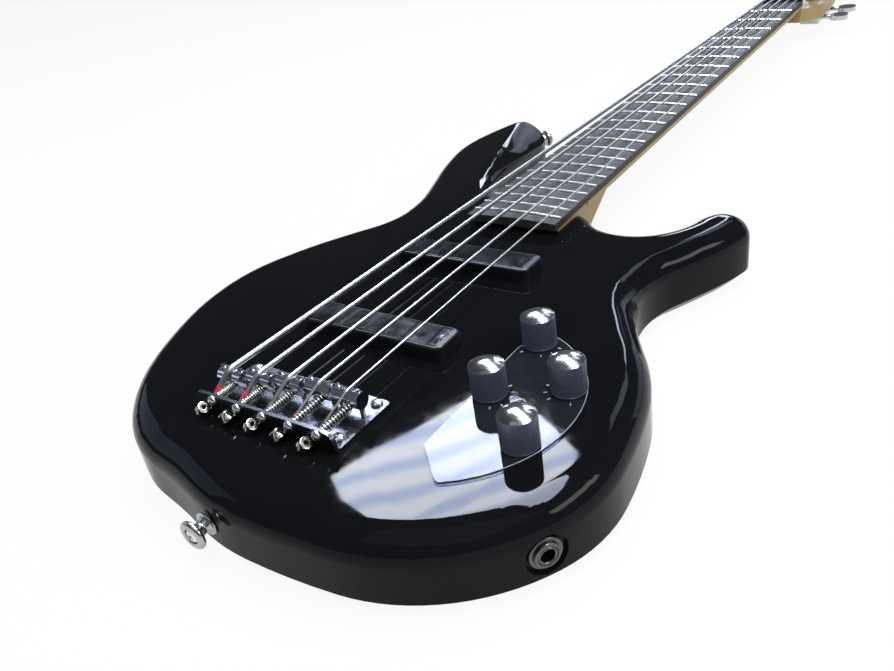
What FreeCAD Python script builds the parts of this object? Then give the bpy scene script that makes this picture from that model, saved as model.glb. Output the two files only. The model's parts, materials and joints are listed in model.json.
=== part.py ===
import FreeCAD, Part
import math
import os
import re
import Sketcher

Vector = FreeCAD.Vector
Placement = FreeCAD.Placement
Rotation = FreeCAD.Rotation

# Five-string electric bass, lying on its flat back.
# +X is the treble side, +Y runs from the saddles to the headstock, +Z comes out of the front.
# The origin is on the back face, under the scale's saddle end and on the centreline.

driving_sizes = {
    # strings, from the thickest to the thinnest
    "scale_length": 863.6,
    "nut_spacing": 9.2,
    "saddle_spacing": 17.3,
    "gauge_b": 3.3,
    "gauge_e": 2.7,
    "gauge_a": 2.2,
    "gauge_d": 1.7,
    "gauge_g": 1.2,
    "string_over_nut_end": 1.7,
    "string_over_saddle_end": 5.7,
    "string_clearance": 0.3,
    # body
    "body_thickness": 42.0,
    "body_half_width": 157.0,
    "tail_reach": 73.0,
    "front_round": 14.0,
    "back_round": 8.5,
    "front_wall": 5.0,
    "cut_overrun": 2.0,
    "carve_width": 60.0,
    "carve_lead": 20.0,
    # neck
    "board_over_body": 9.0,
    "board_thickness": 6.0,
    "board_radius": 400.0,
    "board_past_fret": 9.9,
    "board_end_width": 67.4,
    "nut_width": 45.0,
    "nut_thickness": 5.0,
    "heel_depth": 19.0,
    "heel_width": 65.0,
    "heel_length": 46.0,
    "heel_setback": 6.0,
    "heel_slope": 34.0,
    "pocket_clearance": 0.1,
    "neck_depth_heel": 17.5,
    "neck_depth_nut": 15.5,
    "neck_shoulder": 3.0,
    "headstock_drop": 4.0,
    "headstock_thickness": 15.0,
    "headstock_length": 186.0,
    "headstock_half_width": 43.0,
    "fret_count": 24,
    "fret_width": 2.6,
    "fret_height": 1.1,
    "fret_inset": 0.6,
    "rod_diameter": 5.0,
    "rod_channel_width": 5.6,
    "rod_end_gap": 12.0,
    "rod_cover_length": 34.0,
    "rod_cover_width": 22.0,
    "rod_cover_thickness": 2.0,
    # neck joint
    "bolt_diameter": 4.6,
    "bolt_head_diameter": 9.0,
    "bolt_head_height": 2.6,
    "bolt_reach": 13.0,
    "bolt_spacing_x": 38.0,
    "bolt_spacing_y": 23.0,
    "bolt_setback": 18.0,
    "ferrule_diameter": 14.0,
    "ferrule_depth": 3.6,
    "back_recess": 0.2,
    # pickups
    "pickup_length": 96.0,
    "pickup_width": 22.0,
    "pickup_over_body": 8.0,
    "pickup_under_body": 14.0,
    "pickup_corner": 5.0,
    "pickup_edge": 1.4,
    "pickup_gap": 0.6,
    "pickup_travel": 2.0,
    "pickup_screw_spacing": 84.0,
    "pickup_screw_diameter": 2.8,
    "pickup_screw_head": 5.0,
    "pickup_screw_head_height": 1.8,
    "pickup_screw_reach": 8.0,
    "pickup_well_depth": 20.0,
    "foam_thickness": 5.7,
    # bridge
    "plate_width": 92.6,
    "plate_front": 12.6,
    "plate_back": 28.5,
    "plate_thickness": 2.0,
    "plate_bend": 1.6,
    "plate_corner": 2.5,
    "wall_height": 11.6,
    "wall_corner": 6.0,
    "saddle_diameter": 9.0,
    "saddle_length": 15.7,
    "saddle_groove": 1.0,
    "groove_clearance": 0.6,
    "seat_gap": 0.1,
    "setback_b": 10.9,
    "setback_e": 7.6,
    "setback_a": 4.4,
    "setback_d": 1.7,
    "setback_g": 1.7,
    "height_screw_diameter": 2.5,
    "height_screw_offset": 6.1,
    "height_screw_proud": 1.3,
    "length_screw_diameter": 3.0,
    "length_screw_height": 9.0,
    "length_screw_offset": 2.8,
    "length_screw_head": 5.4,
    "length_screw_head_height": 2.4,
    "length_screw_past": 7.5,
    "thread_clearance": 0.04,
    "anchor_height": 4.6,
    "anchor_offset": 3.0,
    "ball_diameter": 6.4,
    "ball_bore": 2.4,
    "ball_length": 5.2,
    "spring_diameter": 5.0,
    "spring_wire": 0.6,
    "spring_turns": 6,
    "spring_end_gap": 0.3,
    "wood_screw_diameter": 3.4,
    "wood_screw_head": 6.2,
    "wood_screw_head_height": 2.3,
    "wood_screw_reach": 16.0,
    "plate_screw_side": 40.8,
    "plate_screw_front": 8.4,
    "plate_screw_rear": 20.0,
    # controls
    "knob_diameter": 17.6,
    "knob_height": 18.6,
    "knob_dome": 2.2,
    "knob_edge": 0.8,
    "knob_gap": 0.8,
    "knob_recess_diameter": 14.0,
    "knob_recess_depth": 4.0,
    "pot_shaft_diameter": 6.0,
    "pot_shaft_engagement": 9.0,
    "pot_diameter": 16.5,
    "pot_height": 8.5,
    "pot_bushing_diameter": 7.0,
    "pot_bushing_past": 1.2,
    "panel_nut_width": 10.0,
    "panel_nut_height": 2.0,
    "control_a_x": 15.6,
    "control_a_y": -34.4,
    "control_b_x": -16.2,
    "control_b_y": -7.0,
    "control_c_x": 16.6,
    "control_c_y": 9.6,
    "control_d_x": -15.0,
    "control_d_y": 40.2,
    "overlay_thickness": 1.2,
    "overlay_chord_x": -24.0,
    "overlay_low_y": -51.0,
    "overlay_high_y": 35.0,
    "overlay_foot_x": -5.0,
    "overlay_foot_y": -69.4,
    "overlay_side_x": 29.0,
    "overlay_side_y": -10.0,
    "overlay_top_x": -10.4,
    "overlay_top_y": 49.4,
    "overlay_corner": 3.0,
    "cavity_width": 62.0,
    "cavity_length": 112.0,
    "cavity_corner": 18.0,
    "cover_lip": 6.0,
    "cover_thickness": 2.4,
    "cover_gap": 0.25,
    "board_card_width": 46.0,
    "board_card_length": 30.0,
    "board_card_thickness": 1.6,
    # output jack, on the tail's treble side
    "jack_z": 20.0,
    "jack_seat_diameter": 20.0,
    "jack_ring_diameter": 16.0,
    "jack_ring_thickness": 1.6,
    "jack_nut_diameter": 12.4,
    "jack_nut_thickness": 1.6,
    "jack_barrel_diameter": 11.4,
    "jack_bore_diameter": 6.5,
    "jack_length": 30.0,
    "jack_bore_length": 27.0,
    # battery box
    "battery_width": 26.0,
    "battery_length": 48.0,
    "battery_height": 17.0,
    "battery_gap": 0.8,
    "lid_width": 36.0,
    "lid_length": 60.0,
    "lid_thickness": 2.4,
    "lid_gap": 0.4,
    "lid_pin_diameter": 1.2,
    "lid_pin_gap": 0.05,
    "lid_pin_reach": 3.0,
    # strap buttons
    "button_z": 21.0,
    "button_base_diameter": 12.0,
    "button_neck_diameter": 7.0,
    "button_head_diameter": 15.0,
    "button_base_height": 1.6,
    "button_neck_height": 5.2,
    "button_head_height": 3.4,
    "button_seat_depth": 0.8,
    "button_screw_head": 8.0,
    "button_screw_head_height": 2.4,
    # tuners
    "tuner_bass_x": -24.5,
    "tuner_treble_x": 23.0,
    "tuner_first_reach": 38.4,
    "tuner_pitch": 44.0,
    "tuner_treble_shift": 17.0,
    "post_diameter": 9.0,
    "post_height": 22.0,
    "post_wrap_height": 9.0,
    "post_slot_width": 2.6,
    "post_slot_depth": 7.0,
    "post_hole_diameter": 12.0,
    "bushing_inner_gap": 0.15,
    "bushing_flange_diameter": 18.0,
    "bushing_flange_height": 1.6,
    "housing_width": 21.0,
    "housing_length": 26.0,
    "housing_height": 11.0,
    "lug_width": 10.0,
    "lug_reach": 6.5,
    "lug_thickness": 2.5,
    "key_shaft_diameter": 5.0,
    "key_shaft_length": 13.0,
    "key_length": 24.0,
    "key_width": 20.0,
    "key_thickness": 5.0,
    "key_round": 2.0,
    "key_gap": 0.1,
    # small wood screws
    "small_screw_diameter": 2.0,
    "small_screw_head": 4.6,
    "small_screw_head_height": 1.4,
    "small_screw_reach": 8.0,
}

doc = FreeCAD.newDocument("electric_bass")
sheet = doc.addObject("Spreadsheet::Sheet", "sizes")
for row, (name, value) in enumerate(driving_sizes.items(), start=1):
    sheet.set("A%d" % row, name)
    sheet.set("B%d" % row, str(value))
    sheet.setAlias("B%d" % row, name)
doc.recompute()


class Sizes:
    pass


v = Sizes()
for name in driving_sizes:
    setattr(v, name, float(sheet.get(name)))

nodes = {}
up = Vector(0, 0, 1)
down = Vector(0, 0, -1)
forward = Vector(0, 1, 0)
across = Vector(1, 0, 0)


def bind(item, links):
    for place, formula in links.items():
        item.setExpression(place, re.sub(r"[a-z]\w*", lambda word: "sizes." + word.group(0), formula))


def facing(direction):
    return Rotation(up, direction)


# primitives, each bound to the sheet

def box(label, length, width, height, corner, turn=Rotation()):
    item = doc.addObject("Part::Box", label)
    bind(item, {"Length": length, "Width": width, "Height": height})
    item.Placement = Placement(corner, turn)
    return item


def cylinder(label, radius, height, base, direction=up):
    item = doc.addObject("Part::Cylinder", label)
    bind(item, {"Radius": radius, "Height": height})
    item.Placement = Placement(base, facing(direction))
    return item


def fuse(label, parts):
    item = doc.addObject("Part::MultiFuse", label)
    item.Shapes = parts
    return item


def cut(label, base, tools):
    item = doc.addObject("Part::Cut", label)
    item.Base = base
    item.Tool = tools[0] if len(tools) == 1 else fuse(label + "_tools", tools)
    return item


def group(label, parts):
    item = doc.addObject("Part::Compound", label)
    item.Links = parts
    return item


def copies(label, source, places):
    doc.recompute()
    item = doc.addObject("Part::Feature", label)
    shapes = []
    for place in places:
        shape = source.Shape.copy()
        shape.Placement = place.multiply(shape.Placement)
        shapes.append(shape)
    item.Shape = Part.makeCompound(shapes)
    return item


def keep(node, item):
    item.Label = node
    nodes[node] = item
    return item


# bodies built from sketches

def new_body(label, place=Placement()):
    item = doc.addObject("PartDesign::Body", label)
    item.Placement = place
    return item


def new_sketch(body, label, role, base=Vector(), turn=Rotation()):
    sketch = body.newObject("Sketcher::SketchObject", label)
    plane = [item for item in body.Origin.OriginFeatures if item.Role == role][0]
    sketch.AttachmentSupport = (plane, [""])
    sketch.MapMode = "FlatFace"
    sketch.AttachmentOffset = Placement(base, turn)
    return sketch


def edge_sketch(body, label, x, y, z, turn):
    return new_sketch(body, label, "XZ_Plane", Vector(x, z, -y), Rotation(forward, turn))


def add_polygon(sketch, points):
    for start, end in zip(points, points[1:] + points[:1]):
        sketch.addGeometry(Part.LineSegment(Vector(*start), Vector(*end)))


def link(*terms):
    return Sketcher.Constraint(*terms)


def add_rectangle(sketch, width, length):
    half = v.cut_overrun
    corners = [
        Vector(-half, -half, 0), Vector(half, -half, 0), Vector(half, half, 0), Vector(-half, half, 0),
    ]
    for start, end in zip(corners, corners[1:] + corners[:1]):
        sketch.addGeometry(Part.LineSegment(start, end))
    for side in range(4):
        sketch.addConstraint(link("Coincident", side, 2, (side + 1) % 4, 1))
        sketch.addConstraint(link("Vertical" if side % 2 else "Horizontal", side))
    sketch.addConstraint(link("Symmetric", 0, 1, 2, 1, -1, 1))
    wide = sketch.addConstraint(link("DistanceX", 0, 1, 0, 2, half))
    long = sketch.addConstraint(link("DistanceY", 1, 1, 1, 2, half))
    bind(sketch, {"Constraints[%d]" % wide: width, "Constraints[%d]" % long: length})


def add_rounded_rectangle(sketch, width, length, corner):
    reach = v.cut_overrun
    flat = reach / 2
    sides = [(-flat, -reach, flat, -reach), (reach, -flat, reach, flat)]
    sides += [(flat, reach, -flat, reach), (-reach, flat, -reach, -flat)]
    for x, y, far_x, far_y in sides:
        sketch.addGeometry(Part.LineSegment(Vector(x, y, 0), Vector(far_x, far_y, 0)))
    for quarter, (x, y) in enumerate([(flat, -flat), (flat, flat), (-flat, flat), (-flat, -flat)]):
        circle = Part.Circle(Vector(x, y, 0), up, reach - flat)
        start = (quarter - 1) * math.pi / 2
        sketch.addGeometry(Part.ArcOfCircle(circle, start, start + math.pi / 2))
    for side in range(4):
        sketch.addConstraint(link("Tangent", side, 2, 4 + side, 1))
        sketch.addConstraint(link("Tangent", 4 + side, 2, (side + 1) % 4, 1))
        sketch.addConstraint(link("Vertical" if side % 2 else "Horizontal", side))
    for side in (1, 2, 3):
        sketch.addConstraint(link("Equal", 4, 4 + side))
    sketch.addConstraint(link("Symmetric", 4, 3, 6, 3, -1, 1))
    turn = sketch.addConstraint(link("Radius", 4, reach - flat))
    wide = sketch.addConstraint(link("DistanceX", 3, 1, 1, 1, 2 * reach))
    long = sketch.addConstraint(link("DistanceY", 0, 1, 2, 1, 2 * reach))
    bind(sketch, {
        "Constraints[%d]" % turn: corner,
        "Constraints[%d]" % wide: width,
        "Constraints[%d]" % long: length,
    })


def add_circles(sketch, diameter, centres):
    for x, y in centres:
        ring = sketch.addGeometry(Part.Circle(Vector(x, y, 0), up, v.cut_overrun))
        size = sketch.addConstraint(link("Diameter", ring, v.cut_overrun))
        bind(sketch, {"Constraints[%d]" % size: diameter})


def arc_from(start, heading, end):
    chord = end - start
    along = Vector(chord).normalize()
    side = heading - along * heading.dot(along)
    if side.Length < 1e-9:
        return Part.LineSegment(start, end)
    angle = math.acos(max(-1.0, min(1.0, heading.dot(along))))
    middle = start + chord / 2 + side.normalize() * (chord.Length / 2 * math.tan(angle / 2))
    return Part.Arc(start, middle, end)


def biarc(start, heading, end, end_heading):
    gap = end - start
    total = heading + end_heading
    spread = 2 * (1 - heading.dot(end_heading))
    if spread < 1e-12:
        reach = gap.dot(gap) / (4 * gap.dot(heading))
    else:
        reach = (math.sqrt(gap.dot(total) ** 2 + spread * gap.dot(gap)) - gap.dot(total)) / spread
    knee = start + heading * reach
    other = end - end_heading * reach
    joint = (knee + other) / 2
    return [arc_from(start, heading, joint), arc_from(joint, (other - knee).normalize(), end)]


def smooth_loop(stations):
    curves = []
    for here, there in zip(stations, stations[1:] + stations[:1]):
        start = Vector(here[0], here[1], 0)
        end = Vector(there[0], there[1], 0)
        heading = Vector(math.cos(math.radians(here[2])), math.sin(math.radians(here[2])), 0)
        end_heading = Vector(math.cos(math.radians(there[2])), math.sin(math.radians(there[2])), 0)
        curves += biarc(start, heading, end, end_heading)
    return curves


def pad(body, label, sketch, length, backwards=False):
    item = body.newObject("PartDesign::Pad", label)
    item.Profile = sketch
    item.Reversed = backwards
    bind(item, {"Length": length})
    doc.recompute()
    return item


def pocket(body, label, sketch, length, backwards=False):
    before = body.Shape.Volume
    item = body.newObject("PartDesign::Pocket", label)
    item.Profile = sketch
    item.Reversed = backwards
    bind(item, {"Length": length})
    doc.recompute()
    if not body.Shape.Volume < before:
        raise RuntimeError(label + " cuts nothing")
    return item


def revolve(body, label, sketch):
    item = body.newObject("PartDesign::Revolution", label)
    item.Profile = sketch
    item.ReferenceAxis = (sketch, ["V_Axis"])
    item.Angle = 360
    doc.recompute()
    return item


same_place = 1e-4


def edge_names(shape, wanted):
    return ["Edge%d" % (place + 1) for place, edge in enumerate(shape.Edges) if wanted(edge)]


def round_edges(body, label, base, wanted, radius, kind="PartDesign::Fillet"):
    item = body.newObject(kind, label)
    item.Base = (base, edge_names(base.Shape, wanted))
    bind(item, {"Radius" if kind.endswith("Fillet") else "Size": radius})
    doc.recompute()
    return item


def level(height):
    return lambda edge: abs(edge.BoundBox.ZMin - height) + abs(edge.BoundBox.ZMax - height) < same_place


def upright(edge):
    box_of = edge.BoundBox
    return box_of.ZLength > 1e-4 and box_of.XLength + box_of.YLength < same_place


# places that several pieces share

body_top = v.body_thickness
board_top = body_top + v.board_over_body
board_bottom = board_top - v.board_thickness
pocket_floor = board_bottom - v.heel_depth
headstock_top = board_bottom - v.headstock_drop
headstock_back = headstock_top - v.headstock_thickness
names = ["b", "e", "a", "d", "g"]
gauges = [getattr(v, "gauge_" + name) for name in names]
setbacks = [getattr(v, "setback_" + name) for name in names]
middle = (len(names) - 1) / 2


def fret_place(number):
    return v.scale_length * 2 ** (-number / 12)


board_end = fret_place(v.fret_count) - v.board_past_fret
heel_end = board_end + v.heel_setback


def board_width(y):
    share = (v.scale_length - y) / (v.scale_length - board_end)
    return v.nut_width + (v.board_end_width - v.nut_width) * share


def saddle_place(index):
    x = (index - middle) * v.saddle_spacing
    z = board_top + v.string_over_saddle_end + v.saddle_groove - v.saddle_diameter / 2
    return Vector(x, -setbacks[index], z)


wall_inside = -v.plate_back + v.plate_thickness
length_screw_z = body_top + v.length_screw_height
body_length_share = 0.5855
body_length = v.scale_length * body_length_share


def on_body(shares):
    return shares[0] * v.body_half_width, shares[1] * body_length - v.tail_reach


body_places = {
    "cavity": (0.656, 0.2316),
    "battery": (-0.497, 0.1484),
    "jack": (0.9178, 0.1039),
    "horn": (-0.6387, 0.9969),
    "carve": (-0.497, 0.7379),
}
cavity_x, cavity_y = on_body(body_places["cavity"])
battery_x, battery_y = on_body(body_places["battery"])
jack_x, jack_y = on_body(body_places["jack"])
horn_x, horn_y = on_body(body_places["horn"])
carve_x, carve_y = on_body(body_places["carve"])
controls = [
    (cavity_x + getattr(v, "control_%s_x" % tag), cavity_y + getattr(v, "control_%s_y" % tag))
    for tag in "abcd"
]
bolt_y = heel_end + v.bolt_setback
bolts = [(sx * v.bolt_spacing_x / 2, bolt_y + sy * v.bolt_spacing_y / 2) for sx in (-1, 1) for sy in (-1, 1)]
plate_screws = [(side * v.plate_screw_side, -v.plate_screw_rear) for side in (-1, 1)]
plate_screws += [(side * v.plate_screw_side, v.plate_screw_front) for side in (-1, 0, 1)]
pickup_shares = {"neck_pickup": 0.1772, "bridge_pickup": 0.073}
pickup_places = {node: share * v.scale_length for node, share in pickup_shares.items()}
pickup_screws = [(side * v.pickup_screw_spacing / 2, y) for y in pickup_places.values() for side in (-1, 1)]
jack_turn_share = 0.32
jack_turn = 180 * jack_turn_share
jack_out = Vector(math.sin(math.radians(jack_turn)), -math.cos(math.radians(jack_turn)), 0)
jack_seat = Vector(jack_x, jack_y, v.jack_z)
horn_turn_share = 0.873
horn_turn = 180 * horn_turn_share
horn_out = Vector(math.sin(math.radians(horn_turn)), -math.cos(math.radians(horn_turn)), 0)
tail_seat = Vector(0, -v.tail_reach + v.button_seat_depth, v.button_z)
horn_seat = Vector(horn_x, horn_y, v.button_z) - horn_out * v.button_seat_depth
tuner_first_y = v.scale_length + v.tuner_first_reach
tuner_places = [(v.tuner_bass_x, tuner_first_y + step * v.tuner_pitch) for step in range(3)]
tuner_places += [
    (v.tuner_treble_x, tuner_first_y + v.tuner_treble_shift + step * v.tuner_pitch) for step in (1, 0)
]
tail_out = Vector(0, -1, 0)
cover_screws = [
    (cavity_x + sx * (v.cavity_width + v.cover_lip) / 2, cavity_y + sy * v.cavity_length / 4)
    for sx in (-1, 1) for sy in (-1, 1)
]
lug_out = (v.housing_length + v.lug_reach) / 2
tuner_screws = [(x, y + lug_out) for x, y in tuner_places]
rod_cover_middle = v.scale_length + v.nut_thickness + v.string_clearance + v.rod_cover_length / 2
rod_cover_shares = [(0.0, 0.72), (-0.68, -0.78), (0.68, -0.78)]
rod_cover_screws = [
    (x * v.rod_cover_width / 2, rod_cover_middle + y * v.rod_cover_length / 2) for x, y in rod_cover_shares
]
bushing_top = body_top + v.overlay_thickness + v.panel_nut_height + v.pot_bushing_past
knob_nodes = ["volume_knob", "blend_knob", "treble_knob", "bass_knob"]
lid_axis_y = battery_y - v.lid_length / 2 + v.lid_thickness / 2
lid_axis_z = v.back_recess + v.lid_thickness / 2


# body: a slab with rounded edges, a carved horn and its pockets

body_outline_shares = [
    (0.1333, 0.0, 0), (0.7582, 0.0435, 36), (1.0096, 0.1962, 94), (0.8535, 0.3609, 124),
    (0.69, 0.4852, 86), (0.8326, 0.598, 65), (0.893, 0.6492, 77), (0.7639, 0.6892, 193),
    (0.6634, 0.6527, 256), (0.456, 0.5957, 179.5), (0.127, 0.6507, 165), (-0.191, 0.6605, 180),
    (-0.452, 0.7534, 103), (-0.551, 0.9452, 97), (-0.6453, 0.9977, 160.6), (-0.8767, 0.8918, 261),
    (-0.7807, 0.7192, 291), (-0.6494, 0.5757, 273), (-0.8089, 0.4647, 240), (-0.9619, 0.3029, 274),
    (-0.7899, 0.1418, 298.7), (-0.3157, 0.0248, 350.6),
]


def make_body():
    body = new_body("body")
    outline = new_sketch(body, "body_outline", "XY_Plane")
    stations = [
        on_body((x, y)) + (heading,) for x, y, heading in body_outline_shares
    ]
    for curve in smooth_loop(stations):
        outline.addGeometry(curve)
    slab = pad(body, "body_slab", outline, "body_thickness")
    front = round_edges(body, "front_edge", slab, level(body_top), "front_round")
    round_edges(body, "back_edge", front, level(0), "back_round", "PartDesign::Chamfer")
    carve_horn(body)
    cut_from_front(body)
    cut_from_back(body)
    cut_from_edges(body)
    return keep("body", body)


carve_turn_share = 0.089
carve_slope_share = 0.21


def carve_horn(body):
    turn = Rotation(up, 180 * carve_turn_share).multiply(Rotation(forward, 180 * carve_slope_share))
    place = Vector(carve_x, carve_y, body_top)
    sketch = new_sketch(body, "horn_carve_outline", "XY_Plane", place, turn)
    inner = v.carve_width
    lead = v.carve_lead
    far = body_length
    sketch.addGeometry(Part.LineSegment(Vector(-lead, far, 0), Vector(-lead, lead, 0)))
    corner = Part.Circle(Vector(0, lead, 0), up, lead)
    sketch.addGeometry(Part.ArcOfCircle(corner, math.pi, 3 * math.pi / 2))
    sketch.addGeometry(Part.LineSegment(Vector(0, 0, 0), Vector(inner, 0, 0)))
    sketch.addGeometry(Part.LineSegment(Vector(inner, 0, 0), Vector(inner, far, 0)))
    sketch.addGeometry(Part.LineSegment(Vector(inner, far, 0), Vector(-lead, far, 0)))
    pocket(body, "horn_carve", sketch, "body_thickness", True)


def cut_from_front(body):
    front = Vector(0, 0, body_top)
    room = v.heel_length + v.carve_width
    seat = new_sketch(body, "neck_pocket_outline", "XY_Plane", front + Vector(0, heel_end + room / 2, 0))
    add_rectangle(seat, "heel_width + 2 * pocket_clearance", "heel_length + carve_width")
    pocket(body, "neck_pocket", seat, "heel_depth - board_over_body + board_thickness")
    for node, y in pickup_places.items():
        well = new_sketch(body, node + "_well_outline", "XY_Plane", front + Vector(0, y, 0))
        add_rounded_rectangle(well, "pickup_length + 2 * pickup_gap", "pickup_width + 2 * pickup_gap",
                              "pickup_corner + pickup_gap")
        pocket(body, node + "_well", well, "pickup_well_depth")
    screws = new_sketch(body, "pickup_screw_places", "XY_Plane", front - up * v.pickup_well_depth)
    add_circles(screws, "pickup_screw_diameter + 2 * thread_clearance", pickup_screws)
    pocket(body, "pickup_screw_holes", screws, "pickup_screw_reach + pickup_travel")
    holes = new_sketch(body, "plate_screw_places", "XY_Plane", front)
    add_circles(holes, "wood_screw_diameter", plate_screws)
    pocket(body, "plate_screw_holes", holes, "wood_screw_reach")
    posts = new_sketch(body, "control_places", "XY_Plane", front)
    add_circles(posts, "pot_bushing_diameter", controls)
    pocket(body, "control_holes", posts, "front_wall + cut_overrun")


def cut_from_back(body):
    place = Vector(cavity_x, cavity_y, 0)
    recess = new_sketch(body, "cover_recess_outline", "XY_Plane", place)
    add_rounded_rectangle(recess, "cavity_width + 2 * cover_lip + 2 * cover_gap",
                          "cavity_length + 2 * cover_lip + 2 * cover_gap",
                          "cavity_corner + cover_lip + cover_gap")
    pocket(body, "cover_recess", recess, "cover_thickness", True)
    cavity = new_sketch(body, "control_cavity_outline", "XY_Plane", place)
    add_rounded_rectangle(cavity, "cavity_width", "cavity_length", "cavity_corner")
    pocket(body, "control_cavity", cavity, "body_thickness - front_wall", True)
    screws = new_sketch(body, "cover_screw_places", "XY_Plane")
    add_circles(screws, "small_screw_diameter", cover_screws)
    pocket(body, "cover_screw_holes", screws, "cover_thickness + small_screw_reach", True)
    bores = new_sketch(body, "bolt_places", "XY_Plane")
    add_circles(bores, "bolt_diameter", bolts)
    pocket(body, "bolt_holes", bores, "body_thickness", True)
    seats = new_sketch(body, "ferrule_places", "XY_Plane")
    add_circles(seats, "ferrule_diameter", bolts)
    pocket(body, "ferrule_seats", seats, "ferrule_depth + back_recess", True)
    place = Vector(battery_x, battery_y, 0)
    recess = new_sketch(body, "lid_recess_outline", "XY_Plane", place)
    add_rectangle(recess, "lid_width + 2 * lid_gap", "lid_length + 2 * lid_gap")
    pocket(body, "lid_recess", recess, "lid_thickness + lid_gap", True)
    box_room = new_sketch(body, "battery_room_outline", "XY_Plane", place)
    add_rectangle(box_room, "battery_width + 2 * battery_gap", "battery_length + 2 * battery_gap")
    pocket(body, "battery_room", box_room, "lid_thickness + battery_height + 2 * battery_gap", True)
    end = battery_x + v.lid_width / 2 + v.lid_pin_reach + v.lid_gap
    pin = new_sketch(body, "lid_pin_outline", "YZ_Plane", Vector(lid_axis_y, lid_axis_z, end))
    add_circles(pin, "lid_pin_diameter + 2 * lid_pin_gap", [(0, 0)])
    pocket(body, "lid_pin_holes", pin, "lid_width + 2 * lid_pin_reach + 2 * lid_gap")


def cut_from_edges(body):
    for label, seat, turn in (("tail", tail_seat, 0), ("horn", horn_seat, horn_turn)):
        out = Vector(math.sin(math.radians(turn)), -math.cos(math.radians(turn)), 0)
        spot = seat + out * v.button_base_diameter
        face = edge_sketch(body, label + "_button_seat_outline", spot.x, spot.y, spot.z, turn)
        add_circles(face, "button_base_diameter + 2 * cut_overrun", [(0, 0)])
        pocket(body, label + "_button_seat", face, "button_base_diameter")
        hole = edge_sketch(body, label + "_button_hole_outline", spot.x, spot.y, spot.z, turn)
        add_circles(hole, "wood_screw_diameter", [(0, 0)])
        pocket(body, label + "_button_hole", hole, "button_base_diameter + wood_screw_reach")
    spot = jack_seat + jack_out * v.jack_seat_diameter
    face = edge_sketch(body, "jack_seat_outline", spot.x, spot.y, spot.z, jack_turn)
    add_circles(face, "jack_seat_diameter", [(0, 0)])
    pocket(body, "jack_seat", face, "jack_seat_diameter")
    hole = edge_sketch(body, "jack_hole_outline", spot.x, spot.y, spot.z, jack_turn)
    add_circles(hole, "jack_barrel_diameter", [(0, 0)])
    pocket(body, "jack_hole", hole, "jack_seat_diameter + jack_length + cut_overrun")


# neck: heel block, lofted handle and flat headstock

headstock_shares = [
    (0.52, 0.0, 90), (0.62, 0.045, 55), (0.93, 0.2, 90), (0.9, 0.5, 95), (0.66, 0.78, 118),
    (0.1, 0.985, 172), (-0.5, 0.93, 205), (-0.9, 0.72, 255), (-1.0, 0.4, 270), (-0.94, 0.17, 280),
    (-0.62, 0.045, 305), (-0.52, 0.0, 270),
]


def handle_section(body, label, y, depth):
    sketch = new_sketch(body, label, "XZ_Plane", Vector(0, 0, -y))
    half = board_width(y) / 2
    shoulder = board_bottom - v.neck_shoulder
    left = Vector(-half, board_bottom, 0)
    right = Vector(half, board_bottom, 0)
    low_left = Vector(-half, shoulder, 0)
    low_right = Vector(half, shoulder, 0)
    sketch.addGeometry(Part.LineSegment(left, right))
    sketch.addGeometry(Part.LineSegment(right, low_right))
    sketch.addGeometry(Part.Arc(low_right, Vector(0, board_bottom - depth, 0), low_left))
    sketch.addGeometry(Part.LineSegment(low_left, left))
    return sketch


def make_neck():
    neck = new_body("neck")
    far_y = heel_end + v.heel_length
    foot = new_sketch(neck, "heel_profile", "YZ_Plane", Vector(0, 0, -v.heel_width / 2))
    add_polygon(foot, [
        (heel_end, pocket_floor, 0), (far_y, pocket_floor, 0), (far_y + v.heel_slope, board_bottom, 0),
        (heel_end, board_bottom, 0),
    ])
    pad(neck, "heel", foot, "heel_width")
    near = handle_section(neck, "handle_at_heel", far_y - v.cut_overrun, v.neck_depth_heel)
    far = handle_section(neck, "handle_at_nut", v.scale_length + v.nut_thickness, v.neck_depth_nut)
    handle = neck.newObject("PartDesign::AdditiveLoft", "handle")
    handle.Profile = near
    handle.Sections = [far]
    handle.Ruled = True
    doc.recompute()
    place = Vector(0, 0, headstock_back)
    outline = new_sketch(neck, "headstock_outline", "XY_Plane", place)
    stations = [
        (x * v.headstock_half_width, v.scale_length + y * v.headstock_length, heading)
        for x, y, heading in headstock_shares
    ]
    curves = smooth_loop(stations)[:-2]
    curves.append(Part.LineSegment(curves[-1].EndPoint, curves[0].StartPoint))
    for curve in curves:
        outline.addGeometry(curve)
    pad(neck, "headstock", outline, "headstock_thickness")
    cut_neck(neck)
    return keep("neck", neck)


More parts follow.
